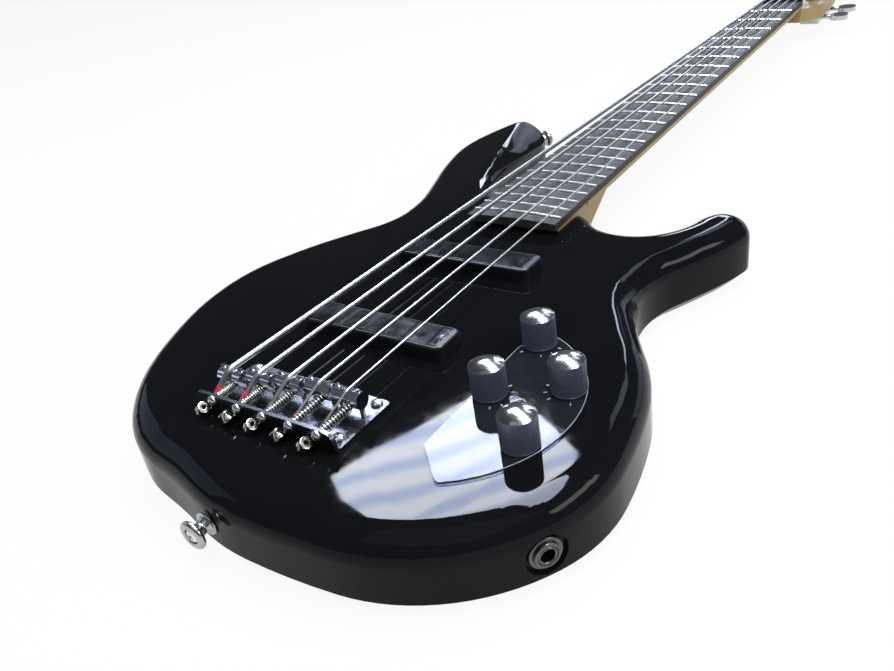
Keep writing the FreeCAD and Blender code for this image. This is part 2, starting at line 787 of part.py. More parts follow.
def cut_neck(neck):
    top = Vector(0, 0, board_bottom)
    start = heel_end + v.rod_end_gap
    end = v.scale_length + v.nut_thickness
    channel = new_sketch(neck, "rod_channel_outline", "XY_Plane", top + Vector(0, (start + end) / 2, 0))
    add_polygon(channel, [
        (side * v.rod_channel_width / 2, way * (end - start) / 2, 0)
        for side, way in ((-1, -1), (1, -1), (1, 1), (-1, 1))
    ])
    pocket(neck, "rod_channel", channel, "rod_diameter")
    bores = new_sketch(neck, "neck_bolt_places", "XY_Plane", Vector(0, 0, pocket_floor))
    add_circles(bores, "bolt_diameter", bolts)
    pocket(neck, "neck_bolt_holes", bores, "bolt_reach", True)
    holes = new_sketch(neck, "tuner_hole_places", "XY_Plane", Vector(0, 0, headstock_top))
    add_circles(holes, "post_hole_diameter", tuner_places)
    pocket(neck, "tuner_holes", holes, "headstock_thickness")
    pilots = new_sketch(neck, "cover_pilot_places", "XY_Plane", Vector(0, 0, headstock_top))
    add_circles(pilots, "small_screw_diameter", rod_cover_screws)
    pocket(neck, "cover_pilot_holes", pilots, "small_screw_reach - rod_cover_thickness")
    lugs = new_sketch(neck, "tuner_pilot_places", "XY_Plane", Vector(0, 0, headstock_back))
    add_circles(lugs, "small_screw_diameter", tuner_screws)
    pocket(neck, "tuner_pilot_holes", lugs, "small_screw_reach - lug_thickness", True)


def make_truss_rod():
    start = heel_end + v.rod_end_gap
    end = v.scale_length + v.nut_thickness
    low = board_bottom - v.rod_diameter / 2
    rod = cylinder("rod", "rod_diameter / 2", "rod_end_gap", Vector(0, start, low),
                   forward)
    rod.setExpression("Height", None)
    rod.Height = end - start
    keep("truss_rod", rod)


def make_rod_cover():
    place = Placement(Vector(0, rod_cover_middle, headstock_top), Rotation())
    plate = new_body("rod_cover", place)
    sketch = new_sketch(plate, "rod_cover_outline", "XY_Plane")
    half = v.rod_cover_width / 2
    reach = v.rod_cover_length / 2
    waist_share = 0.45
    flank_share = 0.585
    left = Vector(-half, -reach, 0)
    right = Vector(half, -reach, 0)
    upper_right = Vector(half * waist_share, reach - half * waist_share, 0)
    upper_left = Vector(-half * waist_share, reach - half * waist_share, 0)
    sketch.addGeometry(Part.LineSegment(left, right))
    sketch.addGeometry(Part.Arc(right, Vector(half * flank_share, 0, 0), upper_right))
    sketch.addGeometry(Part.Arc(upper_right, Vector(0, reach, 0), upper_left))
    sketch.addGeometry(Part.Arc(upper_left, Vector(-half * flank_share, 0, 0), left))
    pad(plate, "rod_cover_plate", sketch, "rod_cover_thickness")
    holes = new_sketch(plate, "rod_cover_holes_outline", "XY_Plane", up * v.rod_cover_thickness)
    add_circles(holes, "small_screw_diameter", [(x, y - rod_cover_middle) for x, y in rod_cover_screws])
    pocket(plate, "rod_cover_holes", holes, "rod_cover_thickness")
    keep("truss_rod_cover", plate)


def board_section(body, label, y):
    sketch = new_sketch(body, label, "XZ_Plane", Vector(0, 0, -y))
    half = board_width(y) / 2
    edge = board_top - v.board_radius + math.sqrt(v.board_radius ** 2 - half ** 2)
    corners = [Vector(-half, board_bottom, 0), Vector(half, board_bottom, 0), Vector(half, edge, 0)]
    corners.append(Vector(-half, edge, 0))
    sketch.addGeometry(Part.LineSegment(corners[0], corners[1]))
    sketch.addGeometry(Part.LineSegment(corners[1], corners[2]))
    sketch.addGeometry(Part.Arc(corners[2], Vector(0, board_top, 0), corners[3]))
    sketch.addGeometry(Part.LineSegment(corners[3], corners[0]))
    return sketch


def make_fretboard():
    board = new_body("fretboard")
    loft = board.newObject("PartDesign::AdditiveLoft", "board_loft")
    loft.Profile = board_section(board, "board_at_body", board_end)
    loft.Sections = [board_section(board, "board_at_nut", v.scale_length)]
    loft.Ruled = True
    doc.recompute()
    keep("fretboard", board)


# frets: a low crown swept about the board's own axis

fret_crown_shares = [(-1.0, 0.0), (-0.8, 0.6), (-0.36, 1.0), (0.36, 1.0), (0.8, 0.6), (1.0, 0.0)]


def make_frets():
    wires = []
    axis = Vector(0, 0, board_top - v.board_radius)
    for number in range(1, int(v.fret_count) + 1):
        y = fret_place(number)
        spots = [
            Vector(0, y + across_share * v.fret_width / 2, board_top + up_share * v.fret_height)
            for across_share, up_share in fret_crown_shares
        ]
        profile = Part.Face(Part.makePolygon(spots + spots[:1]))
        half = board_width(y) / 2 - v.fret_inset
        sweep = 2 * math.degrees(math.asin(half / v.board_radius))
        profile.rotate(axis, forward, -sweep / 2)
        wires.append(profile.revolve(axis, forward, sweep))
    frets = doc.addObject("Part::Feature", "frets")
    frets.Shape = Part.makeCompound(wires)
    keep("frets", frets)


def make_nut():
    high = max(gauges) / 2
    block = box("nut_block", "nut_width", "nut_thickness", "board_thickness + string_over_nut_end",
                Vector(-v.nut_width / 2, v.scale_length, board_bottom))
    block.setExpression("Height", None)
    block.Height = v.board_thickness + v.string_over_nut_end + high
    slots = []
    for index, name in enumerate(names):
        place = Vector((index - middle) * v.nut_spacing, v.scale_length - v.cut_overrun, 0)
        place.z = board_top + v.string_over_nut_end + gauges[index] / 2
        slots.append(cylinder("nut_slot_" + name, "gauge_%s / 2 + string_clearance" % name,
                              "nut_thickness + 2 * cut_overrun", place, forward))
    keep("nut", cut("nut_slotted", block, slots))


# fasteners: a round head on a six-sided shank

def screw(label, diameter, length, head, head_height):
    shank = doc.addObject("Part::Prism", label + "_shank")
    shank.Polygon = 6
    bind(shank, {"Circumradius": diameter + " / 2", "Height": length})
    shank.Placement = Placement(Vector(), Rotation(across, 180))
    cap = cylinder(label + "_cap", head + " / 2", head_height, Vector())
    return fuse(label, [shank, cap])


def place_at(x, y, z, direction=up):
    return Placement(Vector(x, y, z), facing(direction))


def make_fasteners():
    wood = screw("wood_screw", "wood_screw_diameter", "wood_screw_reach", "wood_screw_head",
                 "wood_screw_head_height")
    plate_top = body_top + v.plate_thickness
    places = [place_at(x, y, plate_top) for x, y in plate_screws]
    keep("bridge_screws", copies("bridge_screw_set", wood, places))
    small = screw("small_screw", "small_screw_diameter", "small_screw_reach", "small_screw_head",
                  "small_screw_head_height")
    places = [place_at(x, y, headstock_top + v.rod_cover_thickness) for x, y in rod_cover_screws]
    places += [place_at(x, y, headstock_back - v.lug_thickness, down) for x, y in tuner_screws]
    keep("headstock_screws", copies("headstock_screw_set", small, places))
    flush = v.back_recess + v.small_screw_head_height
    places = [place_at(x, y, flush, down) for x, y in cover_screws]
    keep("cover_screws", copies("cover_screw_set", small, places))
    stud = screw("neck_bolt", "bolt_diameter", "body_thickness", "bolt_head_diameter", "bolt_head_height")
    doc.getObject("neck_bolt_shank").setExpression("Height", None)
    bolt_end = pocket_floor + v.bolt_reach
    doc.getObject("neck_bolt_shank").Height = bolt_end - v.back_recess - v.bolt_head_height
    flush = v.back_recess + v.bolt_head_height
    keep("neck_bolts", copies("neck_bolt_set", stud, [place_at(x, y, flush, down) for x, y in bolts]))
    ring = cylinder("ferrule_ring", "ferrule_diameter / 2", "ferrule_depth", Vector(0, 0, v.back_recess))
    seat = cylinder("ferrule_seat", "bolt_head_diameter / 2", "bolt_head_height",
                    Vector(0, 0, v.back_recess))
    bore = cylinder("ferrule_bore", "bolt_diameter / 2", "ferrule_depth", Vector(0, 0, v.back_recess))
    ferrule = cut("ferrule", ring, [seat, bore])
    keep("neck_ferrules", copies("ferrule_set", ferrule, [place_at(x, y, 0) for x, y in bolts]))


# pickups: a soapbar cover with its two height screws, over a foam block

def make_pickups():
    for node, y in pickup_places.items():
        low = body_top - v.pickup_under_body
        cover = new_body(node + "_cover", Placement(Vector(0, y, low), Rotation()))
        outline = new_sketch(cover, node + "_outline", "XY_Plane")
        add_rounded_rectangle(outline, "pickup_length", "pickup_width", "pickup_corner")
        block = pad(cover, node + "_block", outline, "pickup_under_body + pickup_over_body")
        high = v.pickup_under_body + v.pickup_over_body
        round_edges(cover, node + "_edge", block, level(high), "pickup_edge")
        heads = new_sketch(cover, node + "_head_places", "XY_Plane", up * high)
        sides = [(side * v.pickup_screw_spacing / 2, 0) for side in (-1, 1)]
        add_circles(heads, "pickup_screw_head", sides)
        pocket(cover, node + "_head_seats", heads, "pickup_screw_head_height")
        holes = new_sketch(cover, node + "_hole_places", "XY_Plane", up * high)
        add_circles(holes, "pickup_screw_diameter", sides)
        pocket(cover, node + "_holes", holes, "pickup_under_body + pickup_over_body")
        shank = high - v.pickup_screw_head_height + v.pickup_well_depth - v.pickup_under_body
        stud = screw(node + "_screw", "pickup_screw_diameter", "pickup_screw_reach", "pickup_screw_head",
                     "pickup_screw_head_height")
        rod = doc.getObject(node + "_screw_shank")
        rod.setExpression("Height", None)
        rod.Height = shank + v.pickup_screw_reach
        top = body_top + v.pickup_over_body - v.pickup_screw_head_height
        studs = copies(node + "_screws", stud, [place_at(x, y, top) for x, _ in sides])
        keep(node, group(node + "_set", [cover, studs]))
        make_foam(node, y)


def make_foam(node, y):
    foam = box(node + "_foam_block", "pickup_screw_spacing - 2 * pickup_screw_head", "pickup_width",
               "foam_thickness",
               Vector(v.pickup_screw_head - v.pickup_screw_spacing / 2, y - v.pickup_width / 2,
                      body_top - v.pickup_well_depth))
    keep(node + "_foam", foam)


# bridge: a bent plate, five barrel saddles on height screws, length screws and springs

def make_bridge_plate():
    plate = new_body("bridge_plate")
    profile = new_sketch(plate, "bridge_profile", "YZ_Plane")
    thick = v.plate_thickness
    bend = v.plate_bend
    outer = bend + thick
    back = -v.plate_back
    low = body_top
    top = body_top + v.wall_height
    diagonal = math.sqrt(0.5)
    runs = [
        (Vector(back + outer, low, 0), Vector(v.plate_front, low, 0)),
        (Vector(v.plate_front, low, 0), Vector(v.plate_front, low + thick, 0)),
        (Vector(v.plate_front, low + thick, 0), Vector(back + outer, low + thick, 0)),
        (Vector(back + thick, low + outer, 0), Vector(back + thick, top, 0)),
        (Vector(back + thick, top, 0), Vector(back, top, 0)),
        (Vector(back, top, 0), Vector(back, low + outer, 0)),
    ]
    for start, end in runs:
        profile.addGeometry(Part.LineSegment(start, end))
    centre = Vector(back + outer, low + outer, 0)
    for radius, start, end in ((bend, runs[2][1], runs[3][0]), (outer, runs[5][1], runs[0][0])):
        knee = centre - Vector(diagonal * radius, diagonal * radius, 0)
        profile.addGeometry(Part.Arc(start, knee, end))
    bent = plate.newObject("PartDesign::Pad", "bent_plate")
    bent.Profile = profile
    bent.SideType = "Symmetric"
    bind(bent, {"Length": "plate_width"})
    doc.recompute()
    side = v.plate_width / 2
    at_side = lambda edge: abs(abs(edge.CenterOfMass.x) - side) < same_place
    at_top = lambda edge: abs(edge.CenterOfMass.z - top) < same_place
    at_front = lambda edge: abs(edge.CenterOfMass.y - v.plate_front) < same_place and upright(edge)
    upper = lambda edge: at_side(edge) and at_top(edge)
    lower = lambda edge: at_side(edge) and at_front(edge)
    corners = round_edges(plate, "wall_corners", bent, upper, "wall_corner")
    round_edges(plate, "plate_corners", corners, lower, "plate_corner")
    drill_plate(plate)
    keep("bridge_plate", plate)


def drill_plate(plate):
    behind = -v.plate_back - v.cut_overrun
    screws = edge_sketch(plate, "length_screw_places", 0, behind, 0, 0)
    spots = [(saddle_place(index).x + v.length_screw_offset, length_screw_z) for index in range(len(names))]
    add_circles(screws, "length_screw_diameter + 2 * string_clearance", spots)
    pocket(plate, "length_screw_holes", screws, "plate_thickness + 2 * cut_overrun")
    for index, name in enumerate(names):
        hole = edge_sketch(plate, "anchor_place_" + name, 0, behind, 0, 0)
        spot = (saddle_place(index).x - v.anchor_offset, body_top + v.anchor_height)
        add_circles(hole, "gauge_%s + 4 * string_clearance" % name, [spot])
        pocket(plate, "anchor_hole_" + name, hole, "plate_thickness + 2 * cut_overrun")
    holes = new_sketch(plate, "plate_hole_places", "XY_Plane", up * (body_top + v.plate_thickness))
    add_circles(holes, "wood_screw_diameter", plate_screws)
    pocket(plate, "plate_holes", holes, "plate_thickness")


def make_saddle(index):
    name = names[index]
    centre = saddle_place(index)
    barrel = new_body("barrel_" + name, Placement(centre, facing(across)))
    half = new_sketch(barrel, "barrel_half_" + name, "XZ_Plane")
    radius = v.saddle_diameter / 2
    floor = radius - v.saddle_groove - v.seat_gap
    end = v.saddle_length / 2
    lip = gauges[index] / 2 + v.groove_clearance
    add_polygon(half, [
        (0, -end, 0), (radius, -end, 0), (radius, -lip, 0), (floor, -lip, 0),
        (floor, lip, 0), (radius, lip, 0), (radius, end, 0), (0, end, 0),
    ])
    revolve(barrel, "barrel_turned_" + name, half)
    tools = []
    plate_top = body_top + v.plate_thickness
    tall = "saddle_diameter / 2"
    studs = []
    for side in (-1, 1):
        spot = Vector(centre.x + side * v.height_screw_offset, centre.y, plate_top)
        tag = "%s_%s" % (name, "low" if side < 0 else "high")
        hole = cylinder("height_hole_" + tag, "height_screw_diameter / 2 + thread_clearance", tall, spot)
        stud = cylinder("height_screw_" + tag, "height_screw_diameter / 2", tall, spot)
        for item, past in ((hole, v.cut_overrun), (stud, 0)):
            item.setExpression("Height", None)
            item.Height = centre.z + v.saddle_diameter / 2 + v.height_screw_proud + past - plate_top
        tools.append(hole)
        studs.append(stud)
    spot = Vector(centre.x + v.length_screw_offset, centre.y - v.saddle_diameter, length_screw_z)
    tools.append(cylinder("length_hole_" + name, "length_screw_diameter / 2 + thread_clearance",
                          "2 * saddle_diameter", spot, forward))
    drilled = cut("drilled_barrel_" + name, barrel, tools)
    keep("saddle_" + name, group("saddle_set_" + name, [drilled] + studs))


def make_length_screw(index):
    name = names[index]
    centre = saddle_place(index)
    start = Vector(centre.x + v.length_screw_offset, -v.plate_back, length_screw_z)
    shank = cylinder("length_shank_" + name, "length_screw_diameter / 2", "length_screw_past", start,
                     forward)
    shank.setExpression("Height", None)
    shank.Height = v.plate_back + centre.y + v.length_screw_past
    head = cylinder("length_head_" + name, "length_screw_head / 2", "length_screw_head_height", start,
                    Vector(0, -1, 0))
    keep("intonation_screw_" + name, fuse("length_screw_" + name, [shank, head]))


# saddle springs: each one unbroken square wire on half-turn arcs

def spring_shape(index):
    centre = saddle_place(index)
    x = centre.x + v.length_screw_offset
    coil = (v.spring_diameter - v.spring_wire) / 2
    near = wall_inside + v.spring_wire / 2 + v.spring_end_gap
    drop = length_screw_z - centre.z
    flank = math.sqrt((v.saddle_diameter / 2) ** 2 - drop ** 2)
    reach = math.sqrt(max((v.saddle_diameter / 2) ** 2 - min(abs(drop) - coil, 0) ** 2, flank ** 2))
    far = centre.y - reach - v.spring_wire / 2 - v.spring_end_gap
    steps = int(2 * v.spring_turns)
    rise = (far - near) / steps

    def point(step):
        angle = math.pi * step
        side = coil * math.cos(angle)
        return Vector(x + side, near + rise * step, length_screw_z + coil * math.sin(angle))

    def heading(step):
        angle = math.pi * step
        slope = Vector(-coil * math.pi * math.sin(angle), rise, coil * math.pi * math.cos(angle))
        return slope.normalize()

    curves = []
    for step in range(steps):
        curves += biarc(point(step), heading(step), point(step + 1), heading(step + 1))
    path = Part.Wire([curve.toShape() for curve in curves])
    half = v.spring_wire / 2
    out = across
    rest = heading(0).cross(out).normalize()
    start = point(0)
    corners = [start + out * (a * half) + rest * (b * half) for a, b in ((-1, -1), (1, -1), (1, 1), (-1, 1))]
    section = Part.makePolygon(corners + corners[:1])
    tube = path.makePipeShell([section], True, False)
    dots = path.discretize(Number=steps * 12 + 1)
    apart = min(
        (dots[i] - dots[j]).Length for i in range(len(dots)) for j in range(i + 18, min(i + 40, len(dots)))
    )
    print("spring", names[index], "least gap to itself", round(apart - v.spring_wire * math.sqrt(2), 3))
    return tube


def make_springs():
    springs = doc.addObject("Part::Feature", "springs")
    springs.Shape = Part.makeCompound([spring_shape(index) for index in range(len(names))])
    keep("saddle_springs", springs)


# strings: ball end, anchor run, saddle, nut and a turn round the post

def rounded_path(points, radii):
    edges = []
    start = points[0]
    for place in range(1, len(points) - 1):
        corner = points[place]
        back = (points[place - 1] - corner).normalize()
        ahead = (points[place + 1] - corner).normalize()
        turn = math.acos(max(-1.0, min(1.0, back.dot(ahead))))
        reach = radii[place - 1] / math.tan(turn / 2)
        first = corner + back * reach
        last = corner + ahead * reach
        inward = (back + ahead).normalize()
        knee = corner + inward * (radii[place - 1] / math.sin(turn / 2) - radii[place - 1])
        edges.append(Part.LineSegment(start, first).toShape())
        edges.append(Part.Arc(first, knee, last).toShape())
        start = last
    edges.append(Part.LineSegment(start, points[-1]).toShape())
    return edges


def tangent_side(point, centre, radius, side):
    gap = centre - point
    angle = math.asin(radius / gap.Length)
    reach = math.sqrt(gap.Length ** 2 - radius ** 2)
    return point + Rotation(up, side * math.degrees(angle)).multVec(gap).normalize() * reach


def make_string(index):
    name = names[index]
    thick = gauges[index]
    centre = saddle_place(index)
    ride = v.saddle_diameter / 2 - v.saddle_groove + thick / 2
    hole = Vector(centre.x - v.anchor_offset, wall_inside, body_top + v.anchor_height)
    bottom = board_top + v.string_over_nut_end
    nut = Vector((index - middle) * v.nut_spacing, v.scale_length + v.nut_thickness / 2, bottom + thick / 2)
    bend = Vector(hole.x, hole.y + v.plate_thickness, hole.z)
    rise = Vector(0, centre.y - bend.y, centre.z - bend.z)
    lift = math.atan2(rise.z, rise.y) + math.asin(ride / rise.Length)
    fall = math.atan2(centre.z + ride - nut.z, nut.y - centre.y)
    lean = (lift - fall) / 2
    peak = Vector(centre.x, centre.y, centre.z)
    peak.y -= ride / math.cos((lift + fall) / 2) * math.sin(lean)
    peak.z += ride / math.cos((lift + fall) / 2) * math.cos(lean)
    post = Vector(tuner_places[index][0], tuner_places[index][1], headstock_top + v.post_wrap_height)
    wrap = v.post_diameter / 2 + v.string_clearance + thick / 2
    side = 1 if post.x < 0 else -1
    level_nut = Vector(nut.x, nut.y, post.z)
    touch = tangent_side(level_nut, post, wrap, -side)
    settle = touch + (level_nut - touch).normalize() * (2 * v.post_diameter)
    start = Vector(hole.x, -v.plate_back - v.string_clearance, hole.z)
    points = [start, bend, peak, nut, settle, touch]
    radii = [v.plate_thickness * 2, ride, v.board_radius / 8, v.post_diameter]
    edges = rounded_path(points, radii)
    spoke = touch - post
    half_way = post + Rotation(up, side * 90).multVec(spoke)
    finish = post + Rotation(up, side * 180).multVec(spoke)
    edges.append(Part.Arc(touch, half_way, finish).toShape())
    path = Part.Wire(edges)
    section = Part.Wire([Part.Circle(start, forward, thick / 2).toShape()])
    cord = path.makePipeShell([section], True, False)
    tilt = 1 if index % 2 == 0 else -1
    pin = Vector(math.sqrt(0.5), 0, tilt * math.sqrt(0.5))
    middle_y = start.y - v.string_clearance - v.ball_diameter / 2
    ball_end = Vector(hole.x, middle_y, hole.z) - pin * (v.ball_length / 2)
    ball = Part.makeCylinder(v.ball_diameter / 2, v.ball_length, ball_end, pin)
    bore = Part.makeCylinder(v.ball_bore / 2, v.ball_length, ball_end, pin)
    item = doc.addObject("Part::Feature", "wound_string_" + name)
    item.Shape = Part.makeCompound([cord, ball.cut(bore)])
    keep("string_" + name, item)


# controls: overlay, knobs on their shafts, potentiometers, cavity cover and preamp card

def make_overlay():
    sheet_body = new_body("overlay", Placement(Vector(cavity_x, cavity_y, body_top), Rotation()))
    outline = new_sketch(sheet_body, "overlay_outline", "XY_Plane")
    low = Vector(v.overlay_chord_x, v.overlay_low_y, 0)
    high = Vector(v.overlay_chord_x, v.overlay_high_y, 0)
    foot = Vector(v.overlay_foot_x, v.overlay_foot_y, 0)
    side = Vector(v.overlay_side_x, v.overlay_side_y, 0)
    top = Vector(v.overlay_top_x, v.overlay_top_y, 0)
    outline.addGeometry(Part.LineSegment(low, foot))
    outline.addGeometry(Part.Arc(foot, side, top))
    outline.addGeometry(Part.LineSegment(top, high))
    outline.addGeometry(Part.LineSegment(high, low))
    block = pad(sheet_body, "overlay_sheet", outline, "overlay_thickness")
    round_edges(sheet_body, "overlay_corners", block, upright, "overlay_corner")
    holes = new_sketch(sheet_body, "overlay_hole_places", "XY_Plane", up * v.overlay_thickness)
    add_circles(holes, "pot_bushing_diameter", [(x - cavity_x, y - cavity_y) for x, y in controls])
    pocket(sheet_body, "overlay_holes", holes, "overlay_thickness")
    keep("control_overlay", sheet_body)


def make_knob(node, x, y):
    low = body_top + v.overlay_thickness + v.knob_gap
    knob = new_body(node + "_body", Placement(Vector(x, y, low), Rotation()))
    half = new_sketch(knob, node + "_half", "XZ_Plane")
    radius = v.knob_diameter / 2
    recess = v.knob_recess_diameter / 2
    shaft = v.pot_shaft_diameter / 2
    shoulder = v.knob_height - v.knob_dome
    seat = v.knob_recess_depth + v.pot_shaft_engagement
    points = [
        (recess, 0), (radius - v.knob_edge, 0), (radius, v.knob_edge), (radius, shoulder - v.knob_edge),
        (radius - v.knob_edge, shoulder),
    ]
    spots = [Vector(a, b, 0) for a, b in points]
    for start, end in zip(spots, spots[1:]):
        half.addGeometry(Part.LineSegment(start, end))
    rim = spots[-1]
    peak = Vector(0, v.knob_height, 0)
    dome = (rim.x ** 2 + v.knob_dome ** 2) / (2 * v.knob_dome)
    turn = math.asin(rim.x / dome) / 2
    knee = Vector(dome * math.sin(turn), v.knob_height - dome * (1 - math.cos(turn)), 0)
    half.addGeometry(Part.Arc(rim, knee, peak))
    inner = [peak, Vector(0, seat, 0), Vector(shaft, seat, 0), Vector(shaft, v.knob_recess_depth, 0),
             Vector(recess, v.knob_recess_depth, 0), spots[0]]
    for start, end in zip(inner, inner[1:]):
        half.addGeometry(Part.LineSegment(start, end))
    revolve(knob, node + "_turned", half)
    bottom = bushing_top + v.key_gap
    stem = cylinder(node + "_shaft", "pot_shaft_diameter / 2", "pot_shaft_engagement", Vector(x, y, bottom))
    stem.setExpression("Height", None)
    stem.Height = low + seat - bottom
    keep(node, group(node + "_set", [knob, stem]))


def make_pots():
    low = body_top - v.front_wall - v.pot_height
    can = cylinder("pot_can", "pot_diameter / 2", "pot_height", Vector(0, 0, low))
    neck_part = cylinder("pot_bushing", "pot_bushing_diameter / 2", "front_wall",
                         Vector(0, 0, low + v.pot_height))
    neck_part.setExpression("Height", None)
    neck_part.Height = bushing_top - low - v.pot_height
    pot = fuse("pot", [can, neck_part])
    keep("potentiometers", copies("pot_set", pot, [place_at(x, y, 0) for x, y in controls]))
    rim = doc.addObject("Part::Prism", "panel_nut_rim")
    rim.Polygon = 6
    bind(rim, {"Circumradius": "panel_nut_width / 2", "Height": "panel_nut_height"})
    bore = cylinder("panel_nut_bore", "pot_bushing_diameter / 2", "panel_nut_height", Vector())
    ring = cut("panel_nut", rim, [bore])
    top = body_top + v.overlay_thickness
    keep("panel_nuts", copies("panel_nut_set", ring, [place_at(x, y, top) for x, y in controls]))


def make_card():
    low = body_top - v.front_wall - v.pot_height - v.board_card_thickness
    corner = Vector(cavity_x - v.board_card_width / 2, cavity_y + v.control_b_y, low)
    card = box("card", "board_card_width", "board_card_length", "board_card_thickness", corner)
    keep("preamp_card", card)


def make_control_cover():
    cover = new_body("cavity_cover", Placement(Vector(cavity_x, cavity_y, v.back_recess), Rotation()))
    outline = new_sketch(cover, "cover_outline", "XY_Plane")
    add_rounded_rectangle(outline, "cavity_width + 2 * cover_lip", "cavity_length + 2 * cover_lip",
                          "cavity_corner + cover_lip")
    pad(cover, "cover_sheet", outline, "cover_thickness - back_recess")
    spots = [(x - cavity_x, y - cavity_y) for x, y in cover_screws]
    seats = new_sketch(cover, "cover_seat_places", "XY_Plane")
    add_circles(seats, "small_screw_head", spots)
    pocket(cover, "cover_seats", seats, "small_screw_head_height", True)
    holes = new_sketch(cover, "cover_hole_places", "XY_Plane")
    add_circles(holes, "small_screw_diameter", spots)
    pocket(cover, "cover_holes", holes, "cover_thickness", True)
    keep("control_cover", cover)


# output jack: barrel through the edge, nut and ring on its seat

def make_jack():
    place = Placement(jack_seat, facing(jack_out))
    barrel = cylinder("jack_barrel", "jack_barrel_diameter / 2", "jack_length", Vector())
    ring = cylinder("jack_ring", "jack_ring_diameter / 2", "jack_ring_thickness", Vector())
    nut = cylinder("jack_nut", "jack_nut_diameter / 2", "jack_nut_thickness", up * v.jack_ring_thickness)
    proud = v.jack_ring_thickness + v.jack_nut_thickness
    barrel.Placement = Placement(up * (proud - v.jack_length), Rotation())
    bore = cylinder("jack_bore", "jack_bore_diameter / 2", "jack_bore_length",
                    up * (proud - v.jack_bore_length))
    solid = fuse("jack_solid", [barrel, ring, nut])
    jack = cut("jack", solid, [bore])
    jack.Placement = place
    keep("output_jack", jack)


# battery box: a nine-volt block behind a hinged lid

def make_battery():
    low = v.lid_thickness + 2 * v.battery_gap
    corner = Vector(battery_x - v.battery_width / 2, battery_y - v.battery_length / 2, low)
    keep("battery", box("battery_block", "battery_width", "battery_length", "battery_height", corner))
    lid = new_body("battery_lid_plate", Placement(Vector(battery_x, battery_y, v.back_recess), Rotation()))
    outline = new_sketch(lid, "lid_outline", "XY_Plane")
    add_rectangle(outline, "lid_width", "lid_length")
    plate = pad(lid, "lid_sheet", outline, "lid_thickness")
    tail = -v.lid_length / 2
    at_tail = lambda edge: abs(edge.CenterOfMass.y - tail) < same_place and not upright(edge)
    round_edges(lid, "lid_knuckle", plate, lambda edge: at_tail(edge) and edge.Length > v.lid_width / 2,
                "lid_thickness / 2 - thread_clearance")
    pin = cylinder("lid_pin", "lid_pin_diameter / 2", "lid_width + 2 * lid_pin_reach",
                   Vector(battery_x - v.lid_width / 2 - v.lid_pin_reach, lid_axis_y, lid_axis_z), across)
    keep("battery_lid", fuse("battery_lid_set", [lid, pin]))


# strap buttons with their screws

def make_buttons():
    button = new_body("button")
    half = new_sketch(button, "button_half", "XZ_Plane")
    base = v.button_base_diameter / 2
    waist = v.button_neck_diameter / 2
    head = v.button_head_diameter / 2
    bore = v.wood_screw_diameter / 2
    a = v.button_base_height
    b = a + v.button_neck_height
    c = b + v.button_head_height
    seat = v.button_screw_head / 2
    spots = [Vector(x, z, 0) for x, z in (
        (bore, 0), (base, 0), (base, a / 2), (waist, a), (waist, b - a), (head, b + a / 2),
        (head, c - a / 2), (seat, c), (seat, c - v.button_screw_head_height),
        (bore, c - v.button_screw_head_height),
    )]
    for place in range(len(spots)):
        half.addGeometry(Part.LineSegment(spots[place], spots[(place + 1) % len(spots)]))
    revolve(button, "button_turned", half)
    places = [Placement(tail_seat, facing(tail_out)), Placement(horn_seat, facing(horn_out))]
    keep("strap_buttons", copies("button_pair", button, places))
    stud = screw("button_screw", "wood_screw_diameter", "wood_screw_reach", "button_screw_head",
                 "button_screw_head_height")
    doc.getObject("button_screw_shank").setExpression("Height", None)
    doc.getObject("button_screw_shank").Height = c - v.button_screw_head_height + v.wood_screw_reach
    lift = up * (c - v.button_screw_head_height)
    places = [place.multiply(Placement(lift, Rotation())) for place in places]
    keep("strap_button_screws", copies("button_screw_pair", stud, places))


# tuners: housing on the back, bushing through the wood, post on top and key at the side

def make_tuners():
    housings = []
    bushings = []
    for index, name in enumerate(names):
        x, y = tuner_places[index]
        side = 1 if x > 0 else -1
        low = headstock_back - v.housing_height
        body = box("housing_block_" + name, "housing_width", "housing_length", "housing_height",
                   Vector(x - v.housing_width / 2, y - v.housing_length / 2, low))
        lug = box("housing_lug_" + name, "lug_width", "lug_reach", "lug_thickness",
                  Vector(x - v.lug_width / 2, y + v.housing_length / 2, headstock_back - v.lug_thickness))
        hole = cylinder("housing_hole_" + name, "small_screw_diameter / 2", "lug_thickness",
                        Vector(*tuner_screws[index], headstock_back - v.lug_thickness))
        housings.append(cut("housing_" + name, fuse("housing_solid_" + name, [body, lug]), [hole]))
        sleeve = cylinder("sleeve_" + name, "post_hole_diameter / 2", "headstock_thickness",
                          Vector(x, y, headstock_back))
        flange = cylinder("flange_" + name, "bushing_flange_diameter / 2", "bushing_flange_height",
                          Vector(x, y, headstock_top))
        bore = cylinder("bushing_bore_" + name, "post_diameter / 2 + bushing_inner_gap",
                        "headstock_thickness + bushing_flange_height", Vector(x, y, headstock_back))
        bushings.append(cut("bushing_" + name, fuse("bushing_solid_" + name, [sleeve, flange]), [bore]))
        make_post(name, x, y)
        make_key(name, x, y, side)
    keep("tuner_housings", group("tuner_housing_set", housings))
    keep("tuner_bushings", group("tuner_bushing_set", bushings))


